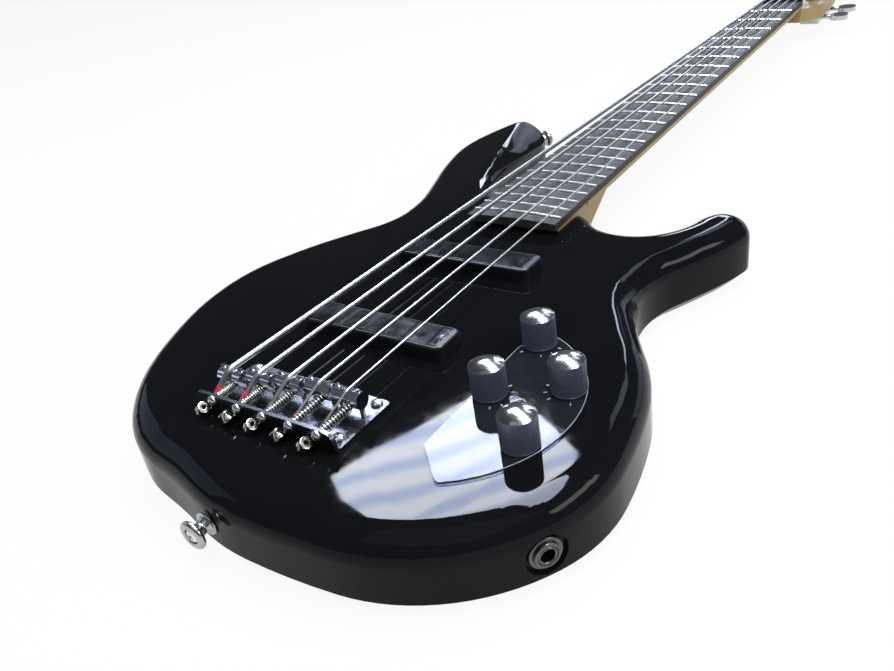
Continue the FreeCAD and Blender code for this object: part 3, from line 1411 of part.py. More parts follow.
def make_post(name, x, y):
    post = new_body("post_" + name, Placement(Vector(x, y, headstock_back + v.key_gap), Rotation()))
    half = new_sketch(post, "post_half_" + name, "XZ_Plane")
    radius = v.post_diameter / 2
    high = v.headstock_thickness + v.post_height - v.key_gap
    flare_share = 0.14
    add_polygon(half, [
        (0, 0, 0), (radius, 0, 0), (radius, high - v.post_slot_depth, 0),
        (radius * (1 + flare_share), high, 0), (0, high, 0),
    ])
    revolve(post, "post_turned_" + name, half)
    slot = new_sketch(post, "post_slot_outline_" + name, "XY_Plane", up * high)
    add_polygon(slot, [
        (a * v.post_slot_width / 2, b * v.post_diameter, 0) for a, b in ((-1, -1), (1, -1), (1, 1), (-1, 1))
    ])
    pocket(post, "post_slot_" + name, slot, "post_slot_depth")
    keep("tuner_post_" + name, post)


def make_key(name, x, y, side):
    height = headstock_back - v.housing_height / 2
    start = Vector(x + side * (v.housing_width / 2 + v.key_gap), y, height)
    out = across * side
    shaft = cylinder("key_shaft_" + name, "key_shaft_diameter / 2", "key_shaft_length", start, out)
    paddle = new_body("key_paddle_" + name)
    outline = new_sketch(paddle, "key_outline_" + name, "XY_Plane", Vector(0, 0, -v.key_thickness / 2))
    half = v.key_length / 2
    root = v.key_shaft_diameter / 2
    wide = v.key_width
    lobe_share = 0.62
    stations = [
        (-root, 0, 180), (-half, wide * lobe_share, 80), (0, wide, 0), (half, wide * lobe_share, -80),
        (root, 0, 180),
    ]
    for curve in smooth_loop(stations)[:-2]:
        outline.addGeometry(curve)
    outline.addGeometry(Part.LineSegment(Vector(root, 0, 0), Vector(-root, 0, 0)))
    pad(paddle, "key_blade_" + name, outline, "key_thickness")
    turn = Rotation(up, -90 * side)
    paddle.Placement = Placement(start + out * (v.key_shaft_length - v.key_round), turn)
    keep("tuner_key_" + name, fuse("key_" + name, [shaft, paddle]))


make_body()
make_neck()
make_truss_rod()
make_rod_cover()
make_fretboard()
make_frets()
make_nut()
make_fasteners()
make_pickups()
make_bridge_plate()
for index in range(len(names)):
    make_saddle(index)
    make_length_screw(index)
    make_string(index)
make_springs()
make_overlay()
for node, spot in zip(knob_nodes, controls):
    make_knob(node, *spot)
make_pots()
make_card()
make_control_cover()
make_jack()
make_battery()
make_buttons()
make_tuners()

doc.recompute()
for item in doc.Objects:
    if "Invalid" in item.State or "Error" in item.State:
        raise ValueError("%s did not compute" % item.Label)
for node, item in nodes.items():
    if item.Shape.isNull() or not item.Shape.isValid():
        raise ValueError("%s has no valid shape" % node)

os.makedirs("parts", exist_ok=True)
for node, item in nodes.items():
    item.Shape.exportStep("parts/%s.step" % node)
    print(node, len(item.Shape.Solids), round(item.Shape.Volume, 2))
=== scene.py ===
import json
import math

import bmesh
import bpy
from mathutils import Euler, Matrix, Vector
from mathutils.bvhtree import BVHTree


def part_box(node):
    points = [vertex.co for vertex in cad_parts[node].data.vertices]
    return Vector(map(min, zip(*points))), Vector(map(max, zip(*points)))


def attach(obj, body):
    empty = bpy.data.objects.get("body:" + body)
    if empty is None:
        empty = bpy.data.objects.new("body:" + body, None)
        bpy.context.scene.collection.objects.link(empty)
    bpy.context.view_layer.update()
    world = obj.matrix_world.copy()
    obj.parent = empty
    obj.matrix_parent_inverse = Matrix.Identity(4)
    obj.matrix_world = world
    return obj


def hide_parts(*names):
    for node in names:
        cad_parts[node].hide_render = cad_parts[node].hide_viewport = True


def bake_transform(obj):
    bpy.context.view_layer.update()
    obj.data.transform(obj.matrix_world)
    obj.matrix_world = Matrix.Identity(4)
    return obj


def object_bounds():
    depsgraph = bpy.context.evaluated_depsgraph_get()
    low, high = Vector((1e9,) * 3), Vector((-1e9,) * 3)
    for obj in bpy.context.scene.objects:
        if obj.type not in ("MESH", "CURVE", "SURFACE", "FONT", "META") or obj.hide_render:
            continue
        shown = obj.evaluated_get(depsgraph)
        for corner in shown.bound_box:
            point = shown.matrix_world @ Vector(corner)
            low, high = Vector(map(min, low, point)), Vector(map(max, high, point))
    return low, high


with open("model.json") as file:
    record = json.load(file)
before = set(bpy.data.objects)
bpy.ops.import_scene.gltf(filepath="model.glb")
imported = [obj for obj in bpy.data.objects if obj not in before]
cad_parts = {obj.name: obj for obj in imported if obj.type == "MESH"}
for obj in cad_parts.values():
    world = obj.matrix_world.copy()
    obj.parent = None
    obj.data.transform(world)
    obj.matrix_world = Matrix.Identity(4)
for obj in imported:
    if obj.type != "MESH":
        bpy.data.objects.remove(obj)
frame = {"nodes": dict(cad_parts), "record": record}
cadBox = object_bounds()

nodes = frame["nodes"]
stringNames = ["b", "e", "a", "d", "g"]  # thickest first
knobNames = ["volume_knob", "blend_knob", "treble_knob", "bass_knob"]
pickupNames = ["neck_pickup", "bridge_pickup"]
bridge = {"back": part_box("bridge_plate")[0][1], "wall": 0.002}  # rear face of the upright wall, its thickness
wallInside = bridge["back"] + bridge["wall"]
up, down = Vector((0, 0, 1)), Vector((0, 0, -1))
scene = bpy.context.scene
print("frame loaded:", len(nodes), "nodes")


def middle(node):
    low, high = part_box(node)
    return (Vector(low) + Vector(high)) / 2


# small helpers for shader and geometry trees

def fill(node, numbers):
    for socket, number in numbers.items():
        node.inputs[socket].default_value = number


def feed(tree, node, sources):
    for socket, source in sources.items():
        tree.links.new(source, node.inputs[socket])


def addNode(tree, kind, sources=None, numbers=None, **settings):
    node = tree.nodes.new(kind)
    for name, value in settings.items():
        setattr(node, name, value)
    fill(node, numbers or {})
    feed(tree, node, sources or {})
    return node


def mathNode(tree, operation, *values):
    node = addNode(tree, "ShaderNodeMath", operation=operation)
    for place, value in enumerate(values):
        if isinstance(value, (int, float)):
            node.inputs[place].default_value = value
        else:
            tree.links.new(value, node.inputs[place])
    return node.outputs[0]


def newMaterial(name):
    material = bpy.data.materials.new(name)
    material.use_nodes = True
    tree = material.node_tree
    return material, tree, tree.nodes["Principled BSDF"]


def objectCoords(tree, scale=(1, 1, 1), turn=(0, 0, 0)):
    place = addNode(tree, "ShaderNodeTexCoord")
    fit = addNode(tree, "ShaderNodeMapping", {"Vector": place.outputs["Object"]}, {"Scale": scale, "Rotation": turn})
    return fit.outputs["Vector"]


def noise(tree, coords, scale, detail=3.0, rough=0.55):
    return addNode(tree, "ShaderNodeTexNoise", {"Vector": coords},
                   {"Scale": scale, "Detail": detail, "Roughness": rough}).outputs["Fac"]


def spread(tree, value, low, high, start=0.3, end=0.7):
    return addNode(tree, "ShaderNodeMapRange", {0: value}, {1: start, 2: end, 3: low, 4: high}).outputs[0]


def twoTone(tree, value, dark, light, start=0.3, end=0.7):
    ramp = addNode(tree, "ShaderNodeValToRGB", {"Fac": value})
    for stop, position, colour in zip(ramp.color_ramp.elements, (start, end), (dark, light)):
        stop.position, stop.color = position, (*colour, 1)
    return ramp.outputs["Color"]


def bump(tree, shader, height, distance, strength=0.3):
    node = addNode(tree, "ShaderNodeBump", {"Height": height}, {"Strength": strength, "Distance": distance})
    feed(tree, shader, {"Normal": node.outputs["Normal"]})


# a plain finish: mottled colour, uneven gloss and a fine surface
def makeFinish(name, dark, light, rough, metal=0.0, grain=900.0, depth=0.00002, stretch=(1, 1, 1), bumpiness=0.2,
               **sockets):
    material, tree, shader = newMaterial(name)
    coords = objectCoords(tree, stretch)
    cloud = noise(tree, coords, grain * 0.12, 4.0)
    fine = noise(tree, coords, grain)
    feed(tree, shader, {"Base Color": twoTone(tree, cloud, dark, light), "Roughness": spread(tree, fine, *rough)})
    bump(tree, shader, fine, depth, bumpiness)
    fill(shader, {"Metallic": metal, **sockets})
    return material


# dark, light, figure's scale, roughness, index of refraction, pores to one figure
# maple: partly its own tone and partly painted shade, darkened as for a neck heel that lies in shade
woodLook = {"maple": ((0.245, 0.172, 0.068), (0.345, 0.262, 0.112), 26.0, 0.34, 1.35, 9.0),
            "rosewood": ((0.020, 0.0175, 0.016), (0.062, 0.056, 0.051), 60.0, 0.52, 1.22, 14.0)}


# wood along Y: slow figure with fine pores in it
def makeWood(name, dark, light, scale, rough, gloss, bands):
    material, tree, shader = newMaterial(name)
    figure = noise(tree, objectCoords(tree, (1, 0.06, 1)), scale, 5.0, 0.6)
    pores = noise(tree, objectCoords(tree, (1, 0.02, 1)), scale * bands, 3.0, 0.7)
    both = mathNode(tree, "ADD", mathNode(tree, "MULTIPLY", figure, 0.62), mathNode(tree, "MULTIPLY", pores, 0.38))
    feed(tree, shader, {"Base Color": twoTone(tree, both, dark, light, 0.36, 0.64),
                        "Roughness": spread(tree, pores, rough - 0.08, rough + 0.12)})
    bump(tree, shader, pores, 0.00008, 0.25)
    fill(shader, {"IOR": gloss})
    return material


# dark, light, roughness from and to, metal, and what differs from the plain surface
finishLook = {
    "body_gloss": ((0.0048, 0.0052, 0.0064), (0.0066, 0.0070, 0.0084), (0.02, 0.05), 0.0,
                   {"grain": 160.0, "depth": 0.000004, "bumpiness": 0.05, "IOR": 1.17}),
    "fret_nickel": ((0.62, 0.60, 0.54), (0.76, 0.74, 0.67), (0.26, 0.38), 1.0, {"stretch": (0.05, 1, 1)}),
    "nut_black": ((0.010, 0.010, 0.011), (0.018, 0.018, 0.019), (0.30, 0.45), 0.0),
    "rod_steel": ((0.36, 0.36, 0.35), (0.50, 0.50, 0.49), (0.30, 0.45), 1.0),
    "black_plastic": ((0.010, 0.010, 0.011), (0.017, 0.017, 0.018), (0.28, 0.42), 0.0),
    "cover_plastic": ((0.012, 0.012, 0.013), (0.020, 0.020, 0.021), (0.45, 0.60), 0.0,
                      {"grain": 1400.0, "depth": 0.00006, "bumpiness": 0.5}),
    "pickup_plastic": ((0.006, 0.006, 0.008), (0.010, 0.011, 0.013), (0.30, 0.42), 0.0,
                       {"grain": 1200.0, "depth": 0.00003, "IOR": 1.3}),
    "foam": ((0.020, 0.020, 0.021), (0.045, 0.045, 0.047), (0.85, 0.98), 0.0,
             {"grain": 700.0, "depth": 0.0006, "bumpiness": 0.8}),
    "bridge_chrome": ((0.095, 0.099, 0.110), (0.140, 0.144, 0.157), (0.24, 0.29), 1.0,
                      {"depth": 0.000003, "stretch": (0.1, 1, 1)}),
    "saddle_chrome": ((0.66, 0.67, 0.70), (0.80, 0.81, 0.84), (0.05, 0.12), 1.0, {"stretch": (0.1, 1, 1)}),
    "screw_steel": ((0.62, 0.62, 0.62), (0.78, 0.78, 0.77), (0.14, 0.26), 1.0),
    "spring_steel": ((0.44, 0.42, 0.36), (0.56, 0.54, 0.47), (0.22, 0.34), 1.0),
    "jack_nickel": ((0.085, 0.085, 0.078), (0.140, 0.140, 0.128), (0.26, 0.40), 1.0),
    "button_chrome": ((0.38, 0.38, 0.37), (0.50, 0.50, 0.48), (0.18, 0.30), 1.0),
    "tuner_chrome": ((0.50, 0.50, 0.51), (0.64, 0.64, 0.65), (0.07, 0.16), 1.0),
    "pot_metal": ((0.42, 0.42, 0.40), (0.55, 0.55, 0.52), (0.30, 0.44), 1.0),
    "card": ((0.010, 0.060, 0.030), (0.018, 0.085, 0.045), (0.30, 0.45), 0.0, {"grain": 500.0}),
    "battery_case": ((0.030, 0.030, 0.034), (0.055, 0.055, 0.060), (0.25, 0.40), 0.0),
}
finishes = {name: makeWood(name, *look) for name, look in woodLook.items()}
for slotName, (dark, light, rough, metal, *more) in finishLook.items():
    first, *rest = slotName.split("_")
    label = first + "".join(word.title() for word in rest)
    finishes[slotName] = makeFinish(label, dark, light, rough, metal, **dict(*more))

# the control overlay: nearly clear, its pale blue base colour a painted sheen that lays a faint blue haze over what
# lies beneath
clearLook = {"Base Color": (0.66, 0.78, 1.0, 1), "Transmission Weight": 0.975, "IOR": 1.02, "Coat Weight": 1.0,
             "Coat IOR": 1.22}


def makeClearSheet():
    material, tree, shader = newMaterial("clearSheet")
    coords = objectCoords(tree)
    gloss = spread(tree, noise(tree, coords, 420.0), 0.02, 0.07)
    feed(tree, shader, {"Roughness": gloss, "Coat Roughness": gloss})
    bump(tree, shader, noise(tree, coords, 60.0), 0.00001, 0.05)
    # the pale blue base colour is a painted sheen
    fill(shader, clearLook)
    return material


finishes["clear_sheet"] = makeClearSheet()

# dark (painted shade between the turns), light (painted highlight on their crowns), pitch, roughness from and to,
# metal
windingLook = {"stringNickel": ((0.185, 0.185, 0.178), (0.32, 0.32, 0.31), 0.00045, (0.28, 0.38), 1.0),
               "silkThread": ((0.30, 0.006, 0.016), (0.62, 0.016, 0.045), 0.0008, (0.55, 0.75), 0.0)}


# roundwound wire: rings across the "along" attribute, with painted shade between the turns and a painted highlight
# on their crowns
def makeWinding(name, dark, light, pitch, rough, metal):
    material, tree, shader = newMaterial(name)
    along = addNode(tree, "ShaderNodeAttribute", attribute_name="along").outputs["Fac"]
    ridge = mathNode(tree, "SINE", mathNode(tree, "MULTIPLY", along, 2 * math.pi / pitch))
    ridge = mathNode(tree, "ABSOLUTE", ridge)
    mottle = noise(tree, objectCoords(tree), 700.0)
    # painted shade in the grooves and painted highlight on the crowns, mottled
    grooveShade = mathNode(tree, "MULTIPLY", ridge, mathNode(tree, "ADD", mottle, 0.5))
    feed(tree, shader, {"Base Color": twoTone(tree, grooveShade, dark, light, 0.1, 0.8),
                        "Roughness": spread(tree, mottle, *rough)})
    bump(tree, shader, ridge, pitch * 0.2, 0.12)
    fill(shader, {"Metallic": metal})
    return material


windings = {name: makeWinding(name, *look) for name, look in windingLook.items()}
finishes["string_nickel"] = windings["stringNickel"]

# domed knobs: satin caps over dark knurled sides, told apart by height; the sides' blue-grey colour is partly the
# dark metal's own and partly a painted reflection of the room
knobLook = {"capDark": (0.30, 0.29, 0.28), "capLight": (0.40, 0.39, 0.37), "sideDark": (0.084, 0.096, 0.137),
            "sideLight": (0.186, 0.210, 0.278), "sideMetal": 0.55, "rough": (0.12, 0.20), "sideRougher": 0.20}


def makeKnobMetal():
    material, tree, shader = newMaterial("knobMetal")
    fine = noise(tree, objectCoords(tree), 1500.0)
    cap = twoTone(tree, fine, knobLook["capDark"], knobLook["capLight"])
    # the sides' colour: dark metal with a painted blue reflection
    side = twoTone(tree, fine, knobLook["sideDark"], knobLook["sideLight"])
    part = addNode(tree, "ShaderNodeAttribute", attribute_name="cap").outputs["Fac"]
    blend = addNode(tree, "ShaderNodeMix", {0: part, 6: side, 7: cap}, data_type="RGBA")
    rough = mathNode(tree, "ADD", spread(tree, fine, *knobLook["rough"]),
                     spread(tree, part, knobLook["sideRougher"], 0.0, 0.0, 1.0))
    feed(tree, shader, {"Base Color": blend.outputs[2], "Roughness": rough,
                        "Metallic": spread(tree, part, knobLook["sideMetal"], 1.0, 0.0, 1.0)})
    bump(tree, shader, fine, 0.00002, 0.15)
    return material


finishes["knob_metal"] = makeKnobMetal()

# length screws: bright heads behind the bridge wall, and threads in front of it darkened with painted shade, as they
# sit inside the springs
lengthLook = {"head": (0.50, 0.50, 0.49), "thread": (0.07, 0.07, 0.07), "rough": (0.20, 0.34)}


def makeLengthSteel():
    material, tree, shader = newMaterial("lengthSteel")
    coords = objectCoords(tree)
    split = addNode(tree, "ShaderNodeSeparateXYZ", {0: coords})
    head = mathNode(tree, "LESS_THAN", split.outputs["Y"], bridge["back"])
    fine = noise(tree, coords, 900.0)
    # the threads' near-black colour is painted shade inside the springs
    feed(tree, shader, {"Base Color": twoTone(tree, head, lengthLook["thread"], lengthLook["head"]),
                        "Roughness": spread(tree, fine, *lengthLook["rough"])})
    bump(tree, shader, fine, 0.00002, 0.2)
    fill(shader, {"Metallic": 1.0})
    return material


finishes["length_steel"] = makeLengthSteel()

# every CAD node takes the finish of its own slot
slotOf = {}
for name, node in nodes.items():
    for place in node.material_slots:
        slotName = place.material.name.split(".")[0] if place.material else ""
        if slotName in finishes:
            place.material = finishes[slotName]
            slotOf.setdefault(name, slotName)
print("finishes:", len(finishes))


# objects from a bmesh or from carrier points

def addObject(name, data):
    obj = bpy.data.objects.new(name, data)
    scene.collection.objects.link(obj)
    return obj


def addMesh(name, work, *materials):
    mesh = bpy.data.meshes.new(name)
    work.to_mesh(mesh)
    work.free()
    for material in materials:
        mesh.materials.append(material)
    return addObject(name, mesh)


def smooth(obj, sharp):
    obj.data.shade_smooth()
    obj.data.set_sharp_from_angle(angle=math.radians(sharp))


def bakeModifiers(obj):
    depsgraph = bpy.context.evaluated_depsgraph_get()
    old = obj.data
    made = bpy.data.meshes.new_from_object(obj.evaluated_get(depsgraph), depsgraph=depsgraph)
    obj.modifiers.clear()
    obj.data = made
    bpy.data.meshes.remove(old)
    made.name = obj.name


def dropPiece(obj):
    mesh = obj.data
    bpy.data.objects.remove(obj)
    bpy.data.meshes.remove(mesh)


def nodeMesh(node, gap):
    work = bmesh.new()
    work.from_mesh(nodes[node].data)
    bmesh.ops.remove_doubles(work, verts=work.verts, dist=gap)
    return work


# joins pieces of one finish
def joinPieces(name, pieces):
    grown = bmesh.new()
    for piece in pieces:
        grown.from_mesh(piece.data)
    obj = addMesh(name, grown, *pieces[0].data.materials)
    for piece in pieces:
        dropPiece(piece)
    return obj


def settle(obj, body, slot, *replaced):
    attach(obj, body)
    if replaced:
        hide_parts(*replaced)


# geometry trees end in Set Material and Realize Instances

def newTree(name, inputs):
    tree = bpy.data.node_groups.new(name, "GeometryNodeTree")
    tree.is_modifier = True
    kinds = {"f": "Float", "i": "Int", "v": "Vector", "m": "Material", "o": "Object"}
    tree.interface.new_socket("Geometry", in_out="INPUT", socket_type="NodeSocketGeometry")
    for label, kind in inputs.items():
        tree.interface.new_socket(label, in_out="INPUT", socket_type="NodeSocket" + kinds[kind])
    tree.interface.new_socket("Geometry", in_out="OUTPUT", socket_type="NodeSocketGeometry")
    return tree, addNode(tree, "NodeGroupInput").outputs


def endTree(tree, given, geometry):
    paint = addNode(tree, "GeometryNodeSetMaterial", {"Geometry": geometry, "Material": given["Finish"]})
    real = addNode(tree, "GeometryNodeRealizeInstances", {"Geometry": paint.outputs["Geometry"]})
    addNode(tree, "NodeGroupOutput", {"Geometry": real.outputs["Geometry"]})
    return tree


def storeNumber(tree, label, geometry, value):
    return addNode(tree, "GeometryNodeStoreNamedAttribute", {"Geometry": geometry, "Value": value}, {"Name": label},
                   data_type="FLOAT", domain="POINT").outputs[0]


def carrier(name, points, edges=(), facing=None, bend=None):
    mesh = bpy.data.meshes.new(name)
    mesh.from_pydata([tuple(p) for p in points], list(edges), [])
    if facing:
        layer = mesh.attributes.new("facing", "FLOAT_VECTOR", "POINT")
        layer.data.foreach_set("vector", [number for way in facing for number in way])
    if bend:
        mesh.attributes.new("bend", "FLOAT", "POINT").data.foreach_set("value", bend)
    return addObject(name, mesh)


def growTree(obj, tree, values, sharp):
    modifier = obj.modifiers.new(tree.name, "NODES")
    modifier.node_group = tree
    for item in tree.interface.items_tree:
        if item.item_type == "SOCKET" and item.in_out == "INPUT" and item.name in values:
            modifier[item.identifier] = values[item.name]
    bakeModifiers(obj)
    smooth(obj, sharp)
    return obj


# a turned shape: the carrier's points are its section (radius, 0, height), from the axis out and up
def makeTurnedTree():
    tree, given = newTree("turnedShape", {"Segments": "i", "Flutes": "f", "Flute Depth": "f", "Flute Low": "f",
                                          "Flute High": "f", "Turn": "v", "Place": "v", "Finish": "m"})

    def calc(operation, *values):
        return mathNode(tree, operation, *values)

    count = addNode(tree, "GeometryNodeAttributeDomainSize", {"Geometry": given["Geometry"]},
                    component="MESH").outputs["Point Count"]
    columns = calc("ADD", given["Segments"], 1.0)
    grid = addNode(tree, "GeometryNodeMeshGrid", {"Vertices X": columns, "Vertices Y": count},
                   {"Size X": 1.0, "Size Y": 1.0})
    where = addNode(tree, "GeometryNodeInputPosition").outputs[0]
    split = addNode(tree, "ShaderNodeSeparateXYZ", {0: where})
    angle = calc("MULTIPLY", calc("ADD", split.outputs["X"], 0.5), 2 * math.pi)
    row = calc("ROUND", calc("MULTIPLY", calc("ADD", split.outputs["Y"], 0.5), calc("SUBTRACT", count, 1.0)))
    pick = addNode(tree, "GeometryNodeSampleIndex", {"Geometry": given["Geometry"], "Value": where, "Index": row},
                   data_type="FLOAT_VECTOR", domain="POINT")
    section = addNode(tree, "ShaderNodeSeparateXYZ", {0: pick.outputs[0]})
    height = section.outputs["Z"]
    above = calc("GREATER_THAN", height, given["Flute Low"])
    below = calc("LESS_THAN", height, given["Flute High"])
    wave = calc("COSINE", calc("MULTIPLY", angle, given["Flutes"]))
    sink = calc("MULTIPLY", calc("SUBTRACT", wave, 1.0), calc("MULTIPLY", given["Flute Depth"], 0.5))
    sink = calc("MULTIPLY", sink, calc("MULTIPLY", above, below))
    radius = calc("ADD", section.outputs["X"], sink)
    x, y = (calc("MULTIPLY", radius, calc(part, angle)) for part in ("COSINE", "SINE"))
    spot = addNode(tree, "ShaderNodeCombineXYZ", {"X": x, "Y": y, "Z": height})
    cap = storeNumber(tree, "cap", grid.outputs["Mesh"], calc("SUBTRACT", 1.0, below))
    shape = addNode(tree, "GeometryNodeSetPosition", {"Geometry": cap, "Position": spot.outputs[0]})
    weld = addNode(tree, "GeometryNodeMergeByDistance", {"Geometry": shape.outputs[0]}, {"Distance": 0.000002})
    move = addNode(tree, "GeometryNodeTransform",
                   {"Geometry": weld.outputs[0], "Translation": given["Place"], "Rotation": given["Turn"]})
    return endTree(tree, given, move.outputs["Geometry"])


turnedTree = makeTurnedTree()


def arcPoints(centre, radius, first, last, count):
    points = []
    for step in range(count + 1):
        angle = math.radians(first + (last - first) * step / count)
        points.append((centre[0] + radius * math.cos(angle), centre[1] + radius * math.sin(angle)))
    return points


# flutes: how many, how deep, and the heights they run between
def turned(name, section, place, direction, finish, segments=48, sharp=32, flutes=(0.0, 0.0, 0.0, 0.0)):
    obj = carrier(name, [(r, 0, z) for r, z in section], [(i, i + 1) for i in range(len(section) - 1)])
    values = dict(zip(("Flutes", "Flute Depth", "Flute Low", "Flute High"), flutes))
    values.update({"Segments": segments, "Turn": up.rotation_difference(Vector(direction)).to_euler(),
                   "Place": Vector(place), "Finish": finish})
    return growTree(obj, turnedTree, values, sharp)


# four control knobs, each turned with a fine knurl below its domed cap
knob = {"foot": 0.0440, "bore": 0.0070, "roof": 0.0040, "round": 0.0007, "dome": 0.0022, "flutes": 72.0,
        "fluteDepth": 0.00040, "fluteLow": 0.0006, "segments": 288}

for name in knobNames:
    low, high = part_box(name)
    radius = (high[0] - low[0]) / 2
    centre = middle(name)
    tall = high[2] - knob["foot"]
    shoulder = tall - knob["dome"]
    lip = knob["round"]
    edge = lip * 1.2
    section = [(0.0, knob["roof"]), (knob["bore"], knob["roof"]), (knob["bore"], 0.0), (radius - lip, 0.0)]
    section += arcPoints((radius - lip, lip), lip, -90, 0, 4)
    section += [(radius, tall * share) for share in (0.2, 0.4, 0.6)]
    section += [(radius, shoulder - edge)]
    section += arcPoints((radius - edge, shoulder - edge), edge, 18, 74, 4)
    rim = section[-1]
    for step in range(1, 11):  # the dome, from its rim to the axis
        r = rim[0] * (1 - step / 10)
        section.append((r, rim[1] + (tall - rim[1]) * (1 - (r / rim[0]) ** 2)))
    flutes = (knob["flutes"], knob["fluteDepth"], knob["fluteLow"], shoulder - lip * 0.2)
    piece = turned(name + "_turned", section, (centre.x, centre.y, knob["foot"]), up, finishes["knob_metal"],
                   knob["segments"], 30, flutes)
    settle(piece, name, "knob_metal", name)
print("knobs turned")

# strap buttons: waisted chrome turnings on the tail and the horn
button = {"base": 0.0060, "waist": 0.0033, "head": 0.0075, "tall": 0.0102, "bore": 0.0040, "hole": 0.0017,
          "sink": 0.0024, "bead": 0.0006, "inset": 0.0004, "flareFrom": 0.0012, "flareTall": 0.0058, "rim": 0.0015,
          "rimHigh": 0.0085}
buttonPlaces = [(Vector((0.0, -0.0722, 0.021)), Vector((0, -1, 0))),
                (Vector((-0.10059, 0.43033, 0.021)), Vector((0.3885, 0.9215, 0)))]


def buttonSection():
    base, waist, bore, top = (button[key] for key in ("base", "waist", "bore", "tall"))
    section = [(button["hole"], 0.0), (base - button["inset"], 0.0)]
    section += arcPoints((base - button["inset"], button["bead"]), button["bead"], -60, 40, 3)
    for step in range(9):  # flare down to the waist and out again
        share = step / 8
        flare = (abs(share - 0.45) / 0.55) ** 2.2
        section.append((waist + (base * 0.92 - waist) * flare, button["flareFrom"] + share * button["flareTall"]))
    section += arcPoints((button["head"] - button["rim"], button["rimHigh"]), button["rim"], -55, 80, 8)
    floor = top - button["sink"]
    return section + [(bore + 0.0006, top), (bore, top - 0.0003), (bore, floor), (button["hole"], floor)]


pieces = [turned("button%d" % n, buttonSection(), place, out, finishes["button_chrome"])
          for n, (place, out) in enumerate(buttonPlaces)]
settle(joinPieces("strapButtons", pieces), "instrument", "button_chrome", "strap_buttons")
print("strap buttons turned")

# pan-head screws with a cross recess: head radius, head height, shank radius, reach
fastener = {"wood": (0.0031, 0.0023, 0.0017, 0.016), "small": (0.0023, 0.0014, 0.0010, 0.008),
            "bolt": (0.0045, 0.0026, 0.0023, 0.030), "button": (0.0040, 0.0024, 0.0017, 0.020),
            "length": (0.0027, 0.0024, 0.0015)}
recess = {"long": 0.55, "wide": 0.24, "deep": 1.1, "foot": 0.35, "sharp": 32}  # shares of the head, degrees


def makeScrew(head, headTall, shank, reach, finish):
    section = [(0.0, -reach), (shank * 0.35, -reach), (shank, -reach + shank * 2), (shank, 0.0), (head * 0.96, 0.0),
               (head, headTall * 0.12), (head, headTall * 0.34)]
    for step in range(1, 7):
        turn = math.radians(90 * step / 6)
        section.append((head * math.cos(turn) ** 0.8 if step < 6 else 0.0,
                        headTall * (0.34 + 0.66 * math.sin(turn))))
    blank = turned("screw", section, (0, 0, 0), up, finish, 28)
    cutter = bmesh.new()
    for turn in (0.0, math.pi / 2):
        for vertex in bmesh.ops.create_cube(cutter, size=1.0)["verts"]:
            wide = head * recess["long"] * (1.0 if vertex.co.z > 0 else recess["foot"])
            vertex.co = Vector((vertex.co.x * 2 * wide, vertex.co.y * head * recess["wide"],
                                headTall + vertex.co.z * headTall * recess["deep"]))
            vertex.co.rotate(Euler((0, 0, turn)))
    tool = addMesh("screwCross", cutter)
    cut = blank.modifiers.new("recess", "BOOLEAN")
    cut.operation, cut.object, cut.solver, cut.use_self = "DIFFERENCE", tool, "EXACT", True
    bakeModifiers(blank)
    blank.data.materials.clear()
    blank.data.materials.append(finish)
    smooth(blank, recess["sharp"])
    dropPiece(tool)
    return blank


# copies on points, turned to the points' own "facing" direction
def placeCopies(tree, given, item, axis, pivot, spin=None):
    facing = addNode(tree, "GeometryNodeInputNamedAttribute", None, {"Name": "facing"}, data_type="FLOAT_VECTOR")
    aim = addNode(tree, "FunctionNodeAlignRotationToVector", {"Vector": facing.outputs[0]}, axis=axis,
                  pivot_axis=pivot)
    if spin:
        aim = addNode(tree, "FunctionNodeRotateRotation", {0: aim.outputs[0], 1: spin}, rotation_space="LOCAL")
    copies = addNode(tree, "GeometryNodeInstanceOnPoints",
                     {"Points": given["Geometry"], "Instance": item, "Rotation": aim.outputs[0]})
    return endTree(tree, given, copies.outputs["Instances"])


def makeScrewTree():
    tree, given = newTree("screwSet", {"Screw": "o", "Finish": "m", "Seed": "i"})
    screw = addNode(tree, "GeometryNodeObjectInfo", {"Object": given["Screw"]})
    spin = addNode(tree, "FunctionNodeRandomValue", {"Seed": given["Seed"]}, {2: 0.0, 3: 1.5}, data_type="FLOAT")
    lean = addNode(tree, "ShaderNodeCombineXYZ", {"Z": spin.outputs[1]})
    own = addNode(tree, "FunctionNodeEulerToRotation", {0: lean.outputs[0]})
    return placeCopies(tree, given, screw.outputs["Geometry"], "Z", "AUTO", own.outputs[0])


screwTree = makeScrewTree()


def setScrews(name, screw, spots, ways, seed, body, node):
    obj = carrier(name, spots, facing=ways)
    growTree(obj, screwTree, {"Screw": screw, "Finish": screw.data.materials[0], "Seed": seed}, recess["sharp"])
    settle(obj, body, "screw_steel", node)
    dropPiece(screw)


# the places of a set of screws, read from the loose shells of its CAD node
def shellPlaces(node):
    work = nodeMesh(node, 1e-6)
    left = set(work.verts)
    places = []
    while left:
        front = [left.pop()]
        shell = list(front)
        while front:
            here = front.pop()
            for edge in here.link_edges:
                other = edge.other_vert(here)
                if other in left:
                    left.remove(other)
                    front.append(other)
                    shell.append(other)
        places.append([Vector([pick(p.co[k] for p in shell) for k in range(3)]) for pick in (min, max)])
    work.free()
    return sorted(places, key=lambda pair: (round(pair[0].y, 4), round(pair[0].x, 4)))


